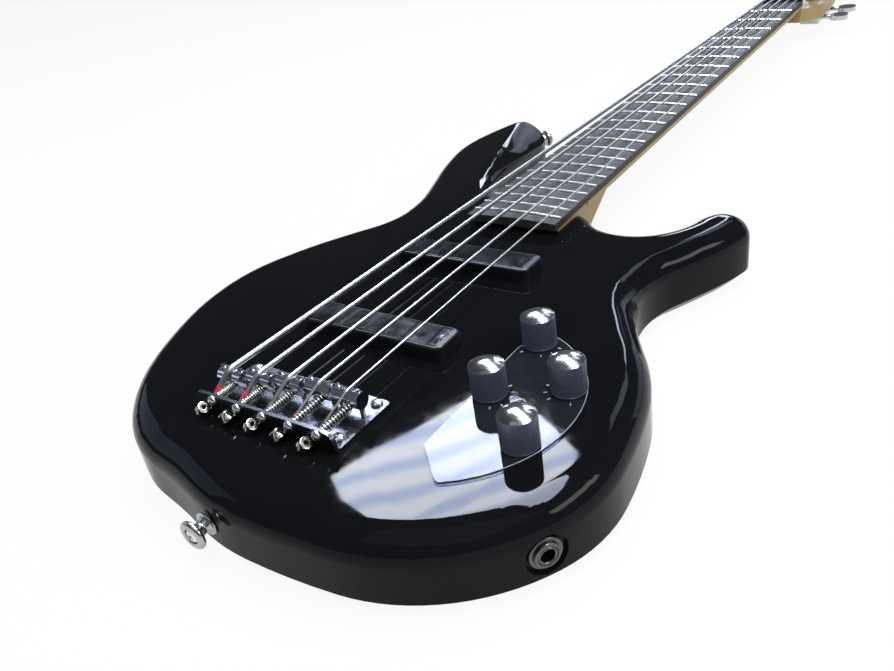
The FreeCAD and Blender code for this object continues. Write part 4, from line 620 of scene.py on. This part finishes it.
screwSets = [("bridgeScrews", "bridge_screws", "wood", 3), ("headstockScrews", "headstock_screws", "small", 5),
             ("coverScrews", "cover_screws", "small", 7), ("neckBolts", "neck_bolts", "bolt", 11)]
frontLevel = 0.0415  # a screw that ends above this is driven from the front, any other from behind
for name, node, kind, seed in screwSets:
    headTall = fastener[kind][1]
    spots, ways = [], []
    for low, high in shellPlaces(node):
        onTop = high.z > frontLevel
        spots.append(Vector(((low.x + high.x) / 2, (low.y + high.y) / 2,
                             high.z - headTall if onTop else low.z + headTall)))
        ways.append(up if onTop else down)
    setScrews(name, makeScrew(*fastener[kind], finishes["screw_steel"]), spots, ways, seed, "instrument", node)

spots = [place + out.normalized() * (button["tall"] - button["sink"]) for place, out in buttonPlaces]
setScrews("buttonScrews", makeScrew(*fastener["button"], finishes["screw_steel"]), spots,
          [out for _, out in buttonPlaces], 13, "instrument", "strap_button_screws")

for name in stringNames:
    node = "intonation_screw_" + name
    low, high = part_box(node)
    headTall = fastener["length"][1]
    spot = middle(node)
    spot.y = low[1] + headTall
    screw = makeScrew(*fastener["length"], high[1] - low[1] - headTall, finishes["length_steel"])
    setScrews("lengthScrew_" + name, screw, [spot], [Vector((0, -1, 0))], 17, node, node)
print("screws set")

# saddle springs: a spiral wire from the wall to each saddle, stretched with it (capitals: the tree's inputs)
coil = {"Turns": 10.5, "Wire Radius": 0.00025, "Coil Radius": 0.00225, "steps": 24, "wireRound": 8,
        "behindSaddle": 0.0042, "room": 0.0005}


def sweep(tree, curve, radius, resolution):
    ring = addNode(tree, "GeometryNodeCurvePrimitiveCircle", {"Radius": radius}, {"Resolution": resolution})
    return addNode(tree, "GeometryNodeCurveToMesh", {"Curve": curve, "Profile Curve": ring.outputs[0]},
                   {"Fill Caps": True}).outputs[0]


def makeCoilTree():
    tree, given = newTree("coilSpring", {"Turns": "f", "Coil Radius": "f", "Wire Radius": "f", "Length": "f",
                                         "Place": "v", "Finish": "m"})
    spiral = addNode(tree, "GeometryNodeCurveSpiral",
                     {"Rotations": given["Turns"], "Start Radius": given["Coil Radius"],
                      "End Radius": given["Coil Radius"], "Height": given["Length"]}, {"Resolution": coil["steps"]})
    wound = sweep(tree, spiral.outputs[0], given["Wire Radius"], coil["wireRound"])
    move = addNode(tree, "GeometryNodeTransform", {"Geometry": wound, "Translation": given["Place"]},
                   {"Rotation": (-math.pi / 2, 0, 0)})
    return endTree(tree, given, move.outputs["Geometry"])


coilTree = makeCoilTree()
for name in stringNames:
    axis = middle("intonation_screw_" + name)
    far = middle("saddle_" + name).y - coil["behindSaddle"]
    spring = carrier("spring_" + name, [(0, 0, 0)])
    root = Vector((axis.x, wallInside + coil["room"], axis.z))
    growTree(spring, coilTree, {**coil, "Length": far - wallInside - coil["room"] * 2, "Place": root,
                                "Finish": finishes["spring_steel"]}, 60)
    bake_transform(spring)
    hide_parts("saddle_springs")
print("springs wound")

# strings: length and post wraps on one filleted route, a ball end behind the wall, silk in front of it
stringSet = {"gauges": (0.0033, 0.0027, 0.0022, 0.0017, 0.0012), "silk": (0.008, 0.009, 0.0, 0.006, 0.0035),
             "silkOver": 0.0002, "silkStart": 0.02, "anchorSide": 0.003, "anchorHigh": 0.0466, "anchorBack": 0.0026,
             "anchorAhead": 0.002, "saddleRadius": 0.0045, "saddleTop": 0.0013, "groove": 0.001, "nutTop": 0.0527,
             "nutSpacing": 0.0092, "postWrap": 0.0500, "postRadius": 0.0045, "postGap": 0.0002, "settleRun": 0.018,
             "slotHigh": 0.0562, "wrapGap": 0.0001, "mostWraps": 2.4, "wrapSteps": 20, "round": 12,
             "bends": (0.004, 0.05, 0.009)}  # radii at the anchor, the nut and before the post
ballEnd = {"bore": 0.0012, "face": 0.0024, "ring": 0.0026, "corner": 0.0006, "cornerHigh": 0.0020, "groove": 0.0008,
           "gap": 0.0006}
brass = makeFinish("ballBrass", (0.46, 0.43, 0.36), (0.64, 0.60, 0.50), (0.16, 0.28), 1.0)


def makeStringTree():
    tree, given = newTree("woundString", {"Radius": "f", "Finish": "m"})
    curve = addNode(tree, "GeometryNodeMeshToCurve", {"Mesh": given["Geometry"]})
    bend = addNode(tree, "GeometryNodeInputNamedAttribute", None, {"Name": "bend"}, data_type="FLOAT")
    soft = addNode(tree, "GeometryNodeFilletCurve", {"Curve": curve.outputs[0], "Radius": bend.outputs[0]},
                   {"Limit Radius": True, "Count": 10}, mode="POLY")
    way = addNode(tree, "GeometryNodeSplineParameter")
    mark = storeNumber(tree, "along", soft.outputs[0], way.outputs["Length"])
    return endTree(tree, given, sweep(tree, mark, given["Radius"], stringSet["round"]))


stringTree = makeStringTree()


def tube(name, points, bends, radius, finish):
    obj = carrier(name, points, [(i, i + 1) for i in range(len(points) - 1)], bend=bends)
    return growTree(obj, stringTree, {"Radius": radius, "Finish": finish}, 60)


# cuts a tube into the runs before, between and after two stations along Y
def splitRuns(obj, names, stations):
    bounds = [-9.0, *stations, 9.0]
    runs = []
    for name, low, high in zip(names, bounds, bounds[1:]):
        work = bmesh.new()
        work.from_mesh(obj.data)
        for station in stations:
            bmesh.ops.bisect_plane(work, geom=work.verts[:] + work.edges[:] + work.faces[:],
                                   plane_co=(0, station, 0), plane_no=(0, 1, 0), dist=1e-7)
        gone = [f for f in work.faces if not low < f.calc_center_median().y < high]
        bmesh.ops.delete(work, geom=gone, context="FACES")
        runs.append(addMesh(name, work, *obj.data.materials))
    dropPiece(obj)
    return runs


# the wraps round a post: points on a helix from where the string first touches it
def wrapPoints(post, touch, wrap, side, pitch):
    turns = min((stringSet["slotHigh"] - post.z) / pitch, stringSet["mostWraps"])
    steps = int(stringSet["wrapSteps"] * turns)
    first = math.atan2(touch.y - post.y, touch.x - post.x)
    points = []
    for step in range(1, steps + 1):
        angle = first + side * 2 * math.pi * turns * step / steps
        points.append(Vector((post.x + wrap * math.cos(angle), post.y + wrap * math.sin(angle),
                              post.z + turns * pitch * step / steps)))
    return points


def ballSection():
    bore, face, ring, corner, high = (ballEnd[key] for key in ("bore", "face", "ring", "corner", "cornerHigh"))
    section = [(bore, -face)] + arcPoints((ring, -high), corner, -90, 40, 4)
    section += [(ring, -ballEnd["groove"]), (ring, ballEnd["groove"])] + arcPoints((ring, high), corner, -40, 90, 4)
    return section + [(bore, face), (bore, -face)]


nutMiddle = middle("nut").y
for place, name in enumerate(stringNames):
    thick = stringSet["gauges"][place]
    saddleBody = "saddle_" + name
    low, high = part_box(saddleBody)
    seat = Vector(((low[0] + high[0]) / 2, (low[1] + high[1]) / 2,
                   high[2] - stringSet["saddleTop"] - stringSet["saddleRadius"]))
    ride = stringSet["saddleRadius"] - stringSet["groove"] + thick / 2
    hole = Vector((seat.x - stringSet["anchorSide"], wallInside, stringSet["anchorHigh"]))
    nut = Vector(((place - 2) * stringSet["nutSpacing"], nutMiddle, stringSet["nutTop"] + thick / 2))
    # the peak is where the runs to the wall and to the nut would meet over the saddle
    bend = hole + Vector((0, stringSet["anchorAhead"], 0))
    rise = seat - bend
    rise.x = 0
    lift = math.atan2(rise.z, rise.y) + math.asin(ride / rise.length)
    fall = math.atan2(seat.z + ride - nut.z, nut.y - seat.y)
    lean = (lift - fall) / 2
    out = ride / math.cos((lift + fall) / 2)
    peak = seat + Vector((0, -out * math.sin(lean), out * math.cos(lean)))
    # from the nut the string meets its post along a tangent
    post = middle("tuner_post_" + name)
    post.z = stringSet["postWrap"]
    wrap = stringSet["postRadius"] + thick / 2 + stringSet["postGap"]
    side = 1 if post.x < 0 else -1
    level = Vector((nut.x, nut.y, post.z))
    gap = post - level
    way = gap.copy()
    way.rotate(Euler((0, 0, -side * math.asin(wrap / gap.length))))
    touch = level + way.normalized() * math.sqrt(gap.length ** 2 - wrap ** 2)
    settleDown = touch + (level - touch).normalized() * stringSet["settleRun"]
    wraps = wrapPoints(post, touch, wrap, side, thick + stringSet["wrapGap"])
    points = [hole + Vector((0, -stringSet["anchorBack"], 0)), bend, peak, nut, settleDown, touch] + wraps
    atAnchor, atNut, atPost = stringSet["bends"]
    bends = [0.0, atAnchor, ride, atNut, atPost, 0.0] + [0.0] * len(wraps)
    whole = tube("string_" + name + "_whole", points, bends, thick / 2, finishes["string_nickel"])
    anchor, span, tail = splitRuns(whole, ["stringAnchor_" + name, "stringSpan_" + name, "stringTail_" + name],
                                   [seat.y, nut.y])
    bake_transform(anchor)
    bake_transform(span)
    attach(tail, "instrument")
    for run in (anchor, span, tail):
        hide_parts("string_" + name)
    # ball ends lean one way and the other in turn
    pin = Vector((math.sqrt(0.5), 0, (1 if place % 2 == 0 else -1) * math.sqrt(0.5)))
    ballAt = Vector((hole.x, bridge["back"] - ballEnd["gap"] - ballEnd["ring"] - ballEnd["corner"], hole.z))
    ball = turned("ballEnd_" + name, ballSection(), ballAt, pin, brass, 28)
    settle(ball, "instrument", "string_nickel", "string_" + name)
    if stringSet["silk"][place]:
        run = peak - bend
        start = bend + run * stringSet["silkStart"]
        cover = tube("silk_" + name, [start, start + run.normalized() * stringSet["silk"][place]], [0.0, 0.0],
                     thick / 2 + stringSet["silkOver"], windings["silkThread"])
        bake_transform(cover)
print("strings wound")

# the clear control plate: pale lines along its rims, painted highlights where its edges catch the light, and a ring
# of plain ticks round each knob
plate = {"line": 0.00016, "Long": 0.0017, "Wide": 0.00040, "High": 0.00006, "ticks": 11, "sweep": 300.0,
         "gap": 0.0022, "rimAngle": 0.7, "rimDeep": 0.0002, "margin": 0.9, "probe": 0.01, "probeReach": 0.0115}
paint = makeFinish("tickPaint", (0.62, 0.64, 0.68), (0.72, 0.74, 0.78), (0.40, 0.55))
# the rim lines' pale colour is a painted highlight
rimLine = makeFinish("rimLine", (0.34, 0.37, 0.46), (0.46, 0.50, 0.60), (0.20, 0.35))


def makeTickTree():
    tree, given = newTree("tickRing", {"Long": "f", "Wide": "f", "High": "f", "Finish": "m"})
    size = addNode(tree, "ShaderNodeCombineXYZ", {"X": given["Long"], "Y": given["Wide"], "Z": given["High"]})
    block = addNode(tree, "GeometryNodeMeshCube", {"Size": size.outputs[0]})
    return placeCopies(tree, given, block.outputs["Mesh"], "X", "Z")


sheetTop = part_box("control_overlay")[1][2]
work = nodeMesh("control_overlay", 2e-6)
work.normal_update()
sheetFaces = BVHTree.FromBMesh(work)
rims = [[v.co.copy() for v in e.verts] for e in work.edges
        if len(e.link_faces) == 2 and e.calc_face_angle() > plate["rimAngle"]
        and all(v.co.z > sheetTop - plate["rimDeep"] for v in e.verts)]
work.free()
spots, ways = [], []
for name in knobNames:
    low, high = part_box(name)
    centre = middle(name)
    ring = (high[0] - low[0]) / 2 + plate["gap"]
    for step in range(plate["ticks"]):
        angle = math.radians(-90 - plate["sweep"] / 2 + plate["sweep"] * step / (plate["ticks"] - 1) + 180)
        way = Vector((math.cos(angle), math.sin(angle), 0))
        spot = Vector((centre.x, centre.y, sheetTop + plate["High"] / 2)) + way * ring
        ends = [spot + way * plate["Long"] * share for share in (-plate["margin"], plate["margin"])]
        # a tick stays only where the sheet is under both its ends
        if all(sheetFaces.ray_cast(end + up * plate["probe"], down, plate["probeReach"])[0] for end in ends):
            spots.append(spot)
            ways.append(way)
ticks = carrier("plateTicks", spots, facing=ways)
growTree(ticks, makeTickTree(), {**plate, "Finish": paint}, 30)
settle(ticks, "instrument", "clear_sheet")

# pale tubes along the sheet's rims: painted highlights on its edges
points = [end for pair in rims for end in pair]
rim = carrier("plateRim", points, [(i, i + 1) for i in range(0, len(points), 2)], bend=[0.0] * len(points))
growTree(rim, stringTree, {"Radius": plate["line"], "Finish": rimLine}, 60)
settle(rim, "instrument", "clear_sheet")
print("control plate lined:", len(spots), "ticks")

# the clear film still on each pickup: a thin rippled sheet with a torn end
film = {"long": 0.0890, "wide": 0.0180, "thick": 0.00012, "gap": 0.00008, "lift": 0.00035, "rippled": 0.35,
        "tear": 0.022, "tornFrom": 0.49, "cells": (60, 28), "dark": (0.006, 0.007, 0.010),
        "light": (0.014, 0.015, 0.021), "rough": (0.10, 0.22)}


def makeFilmMaterial():
    material, tree, shader = newMaterial("pickupFilm")
    cloud = noise(tree, objectCoords(tree), 90.0, 4.0)
    feed(tree, shader, {"Base Color": twoTone(tree, cloud, film["dark"], film["light"]),
                        "Roughness": spread(tree, cloud, *film["rough"])})
    bump(tree, shader, cloud, 0.0002, 0.2)
    fill(shader, {"IOR": 1.3})
    return material


filmFinish = makeFilmMaterial()
for node in pickupNames:
    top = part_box(node)[1][2]
    centre = middle(node)
    work = bmesh.new()
    made = bmesh.ops.create_grid(work, x_segments=film["cells"][0], y_segments=film["cells"][1], size=0.5)
    for vertex in made["verts"]:
        x, y = vertex.co.x, vertex.co.y
        ripple = 0.5 + 0.5 * math.sin(17 * x + 3.1 * y) * math.cos(9 * y - 4 * x)
        if x > film["tornFrom"]:
            x -= film["tear"] * (0.5 + 0.3 * math.sin(19 * y + 1.0) + 0.2 * math.sin(47 * y))
        vertex.co = Vector((centre.x + x * film["long"], centre.y + y * film["wide"],
                            top + film["gap"] + film["lift"] * ripple * film["rippled"]))
    sheet = addMesh(node + "_film", work, filmFinish)
    sheet.data.shade_smooth()
    wall = sheet.modifiers.new("wall", "SOLIDIFY")
    wall.thickness, wall.offset = film["thick"], 1.0
    settle(sheet, node, "pickup_plastic")
print("pickup films laid")

# foam under each pickup, between the well's floor and the cover
foamPad = {"round": 0.0012, "cells": 3}
for node in pickupNames:
    low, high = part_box(node + "_foam")
    work = bmesh.new()
    for vertex in bmesh.ops.create_cube(work, size=1.0)["verts"]:
        vertex.co = Vector([low[k] + (high[k] - low[k]) * (vertex.co[k] + 0.5) for k in range(3)])
    bmesh.ops.bevel(work, geom=work.edges[:], offset=foamPad["round"], segments=foamPad["cells"], affect="EDGES")
    pad = addMesh(node + "_pad", work, finishes["foam"])
    pad.data.shade_smooth()
    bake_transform(pad)
    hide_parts(node + "_foam")
print("foam laid")

# output jack: washer, round nut and a sleeve round the dark bore
jack = {"seat": (0.14409, -0.02046, 0.020), "turn": 57.6, "washer": (0.0080, 0.0016, 0.0008, 0.0003),
        "nut": (0.0062, 0.0016, 0.0006, 0.0), "sleeve": 0.0047, "bore": 0.00325, "proud": 0.0032, "deep": 0.0268,
        "rim": 0.0005, "lead": 0.0004}


# a flat collar round the sleeve, with a rounded upper edge
def collarSection(radius, tall, corner, inset):
    section = [(jack["sleeve"], 0.0), (radius - inset, 0.0)]
    return section + arcPoints((radius - corner, tall - corner), corner, 0, 90, 4) + [(jack["sleeve"], tall)]


def sleeveSection():
    wide, bore, top, rim, lead = (jack[key] for key in ("sleeve", "bore", "proud", "rim", "lead"))
    foot = top - jack["deep"]
    return [(bore, foot), (wide, foot), (wide, top - rim), (wide - rim, top), (bore + lead, top), (bore, top - lead),
            (bore, foot)]


turnOut = math.radians(jack["turn"])
jackOut = Vector((math.sin(turnOut), -math.cos(turnOut), 0))
jackSeat = Vector(jack["seat"])
nutSeat = jackSeat + jackOut * jack["washer"][1] * 0.98
pieces = [turned(label, section, seat, jackOut, finishes["jack_nickel"], segments) for label, section, seat, segments
          in (("jackWasher", collarSection(*jack["washer"]), jackSeat, 56),
              ("jackSleeve", sleeveSection(), jackSeat, 40),
              ("jackNut", collarSection(*jack["nut"]), nutSeat, 48))]
settle(joinPieces("jackSocket", pieces), "instrument", "jack_nickel", "output_jack")
print("jack fitted")

# smooth copies of moulded or lacquered nodes: how far edges are eased, and the angle that stays sharp
soft = {"body": (None, 40), "neck": (None, 40), "tuner_housings": (0.0012, 40), "nut": (0.0004, 40),
        "truss_rod_cover": (0.0006, 40)}
soft.update({"tuner_key_" + name: (0.0015, 35) for name in stringNames})
# extra cuts beside the carve's upper edge, so that only a narrow lip there is shaded round
carve = {"edge": (-0.0783, 0.2998, 0.042), "turn": 16.02, "slope": 37.8, "above": 0.005, "below": 0.006,
         "sameWay": 0.9998, "sameLevel": 0.0002}


def softenCarve(work):
    turn, slope = math.radians(carve["turn"]), math.radians(carve["slope"])
    across = Vector((math.cos(turn), math.sin(turn), 0))
    tilted = across * math.sin(slope) + Vector((0, 0, math.cos(slope)))
    edge = Vector(carve["edge"])
    for normal, shift in ((up, -carve["above"]), (tilted, carve["below"])):
        work.normal_update()
        level = normal.dot(edge)
        faces = [f for f in work.faces if f.normal.dot(normal) > carve["sameWay"]
                 and abs(normal.dot(f.calc_center_median()) - level) < carve["sameLevel"]]
        geom = list({v for f in faces for v in f.verts}) + list({e for f in faces for e in f.edges}) + faces
        bmesh.ops.bisect_plane(work, geom=geom, dist=1e-6, plane_co=edge + across * shift, plane_no=across)


def easeNode(name, width, sharp):
    work = nodeMesh(name, 2e-6)
    if width:
        bmesh.ops.dissolve_limit(work, angle_limit=math.radians(2), verts=work.verts, edges=work.edges)
    if name == "body":
        softenCarve(work)
    obj = addMesh(name + "_eased", work, *[place.material for place in nodes[name].material_slots])
    old = obj.data.attributes.get("custom_normal")
    if old:
        obj.data.attributes.remove(old)
    if width:
        ease = obj.modifiers.new("ease", "BEVEL")
        ease.width, ease.segments, ease.limit_method, ease.angle_limit = width, 3, "ANGLE", math.radians(38)
        bakeModifiers(obj)
    smooth(obj, sharp)
    level = obj.modifiers.new("level", "WEIGHTED_NORMAL")  # flat faces stay flat up to their rims
    level.mode, level.weight, level.keep_sharp = "FACE_AREA", 100, True
    bakeModifiers(obj)
    return obj


bodies = frame["record"]["behaviour"]["bodies"]
for name, (width, sharp) in soft.items():
    body = next(b for b, members in bodies.items() if name in members)
    settle(easeNode(name, width, sharp), body, slotOf[name], name)
print("edges eased")

# floor, panels, lamps and camera
stageSet = {"floor": (0.93, 0.93, 0.94), "floorRough": 0.9, "floorHalf": 14, "floorGap": 0.0005, "shown": 0.92,
            "mirrored": 0.4, "world": (0.090, 0.095, 0.110)}


def makeFloor():
    material, tree, shader = newMaterial("studioFloor")
    fill(shader, {"Base Color": (*stageSet["floor"], 1), "Roughness": stageSet["floorRough"]})
    path = addNode(tree, "ShaderNodeLightPath").outputs
    mirrored = mathNode(tree, "MULTIPLY", path["Is Glossy Ray"], stageSet["mirrored"])
    seen = mathNode(tree, "MAXIMUM", path["Is Camera Ray"],
                    mathNode(tree, "MAXIMUM", mirrored, path["Is Transmission Ray"]))
    glow = addNode(tree, "ShaderNodeEmission", None, {"Color": (1, 1, 1, 1), "Strength": 1.0})
    shown = mathNode(tree, "MULTIPLY", seen, stageSet["shown"])
    both = addNode(tree, "ShaderNodeMixShader", {0: shown, 1: shader.outputs[0], 2: glow.outputs[0]})
    feed(tree, tree.nodes["Material Output"], {"Surface": both.outputs[0]})
    return material


def flatSheet(name, corners, material):
    mesh = bpy.data.meshes.new(name)
    mesh.from_pydata(corners, [], [tuple(range(len(corners)))])
    mesh.materials.append(material)
    return addObject(name, mesh)


half, floorLevel = stageSet["floorHalf"], cadBox[0][2] - stageSet["floorGap"]
flatSheet("floor", [(x * half, y * half, floorLevel) for x, y in ((-1, -1), (1, -1), (1, 1), (-1, 1))],
                   makeFloor())


def upright(left, right, low, high, far=3.4):
    return [(left, far, low), (right, far, low), (right, far, high), (left, far, high)]


# bright panels seen only in the lacquer and metal: a window overhead, and shapes far up the neck
windowShape = [(-1.382, 1.114), (-1.273, 1.04), (-1.1, 1.0), (-0.9, 0.96), (-0.5, 0.8), (0.1, 0.48),
               (0.6, 0.22), (0.8, 0.38), (0.6, 0.64), (0.0, 1.0), (-0.709, 1.342), (-0.668, 1.474),
               (-0.682, 1.545), (-0.784, 1.609), (-0.889, 1.669), (-1.024, 1.736), (-1.201, 1.677), (-1.285, 1.428),
               (-1.348, 1.294)]
panels = {"window": (56.0, [(x, y, 1.5) for x, y in windowShape]),
          "doorway": (18.0, upright(-1.2, -0.5, 0.85, 1.35)),
          "doorSheen": (2.4, upright(-0.5, -0.205, 0.9, 1.25)),
          "slot": (18.0, upright(-0.8, -0.55, 1.35, 2.2)),
          "lowStrip": (1.6, upright(0.1, 2.0, 0.1, 0.9)),
          "backWall": (4.0, [(-0.6, 3.5, 2.3), (0.25, 3.5, 2.3), (0.35, 3.5, 3.1), (-0.6, 3.5, 3.1)]),
          "ceiling": (0.8, [(-0.6, -2.5, 2.2), (2.2, -2.5, 2.2), (2.2, 0.0, 2.2), (-0.6, 0.0, 2.2)])}
glowLook = {"dark": (0.54, 0.62, 0.88), "light": (0.84, 0.90, 1.0), "turn": 35,
            "bars": {"Scale": 2.2, "Distortion": 3.0, "Detail": 2.0}}


def makeGlow(name, strength):
    material, tree, shader = newMaterial(name)
    tree.nodes.remove(shader)
    coords = objectCoords(tree, turn=(0, 0, math.radians(glowLook["turn"])))
    bars = addNode(tree, "ShaderNodeTexWave", {"Vector": coords}, glowLook["bars"])
    colour = twoTone(tree, bars.outputs["Fac"], glowLook["dark"], glowLook["light"], 0.1, 0.7)
    glow = addNode(tree, "ShaderNodeEmission", {"Color": colour}, {"Strength": strength})
    feed(tree, tree.nodes["Material Output"], {"Surface": glow.outputs[0]})
    return material


for name, (strength, corners) in panels.items():
    panel = flatSheet(name, corners, makeGlow(name + "Glow", strength))
    panel.visible_camera = panel.visible_diffuse = False

# place, target, size, power, colour, seen in reflections
lamps = {"overhead": ((0.6, -0.8, 1.8), (0, 0.2, 0), (1.4, 1.4), 26.0, (1.0, 0.98, 0.95), False),
         "neckLamp": ((0.2, 0.7, 1.7), (0, 0.7, 0), (0.9, 1.6), 19.0, (1.0, 0.99, 0.97), False),
         "leftFill": ((-1.6, -0.3, 0.7), (0, 0.1, 0.02), (1.6, 0.8), 4.0, (0.55, 0.70, 1.0), True),
         "rightStrip": ((1.3, 0.4, 0.8), (0.05, 0.2, 0.03), (0.9, 0.3), 9.0, (1.0, 0.99, 0.97), True)}
for name, (place, target, size, power, colour, mirrored) in lamps.items():
    data = bpy.data.lights.new(name, "AREA")
    data.shape, data.size, data.size_y = "RECTANGLE", *size
    data.energy, data.color = power, colour
    lamp = addObject(name, data)
    lamp.location = place
    lamp.rotation_euler = (Vector(target) - Vector(place)).to_track_quat("-Z", "Y").to_euler()
    lamp.visible_camera, lamp.visible_glossy = False, mirrored

world = bpy.data.worlds.new("studio")
world.use_nodes = True
fill(world.node_tree.nodes["Background"], {"Color": (*stageSet["world"], 1), "Strength": 1.0})
scene.world = world

view = {"place": (0.2718, -0.2173, 0.2629), "ahead": (-0.541, 0.672, -0.506), "right": (0.821, 0.553, -0.145),
        "sensor": 36.0, "focal": 812.7 / 894 * 36, "clip": (0.01, 60.0)}
data = bpy.data.cameras.new("photoCamera")
data.sensor_fit, data.sensor_width, data.lens = "HORIZONTAL", view["sensor"], view["focal"]
data.clip_start, data.clip_end = view["clip"]
camera = addObject("photoCamera", data)
ahead = Vector(view["ahead"]).normalized()
right = Vector(view["right"])
right = (right - ahead * right.dot(ahead)).normalized()
turn = Matrix((right, right.cross(ahead), -ahead)).transposed()
camera.matrix_world = Matrix.Translation(view["place"]) @ turn.to_4x4()
scene.camera = camera
scene.view_settings.view_transform = "Standard"
print("stage lit")
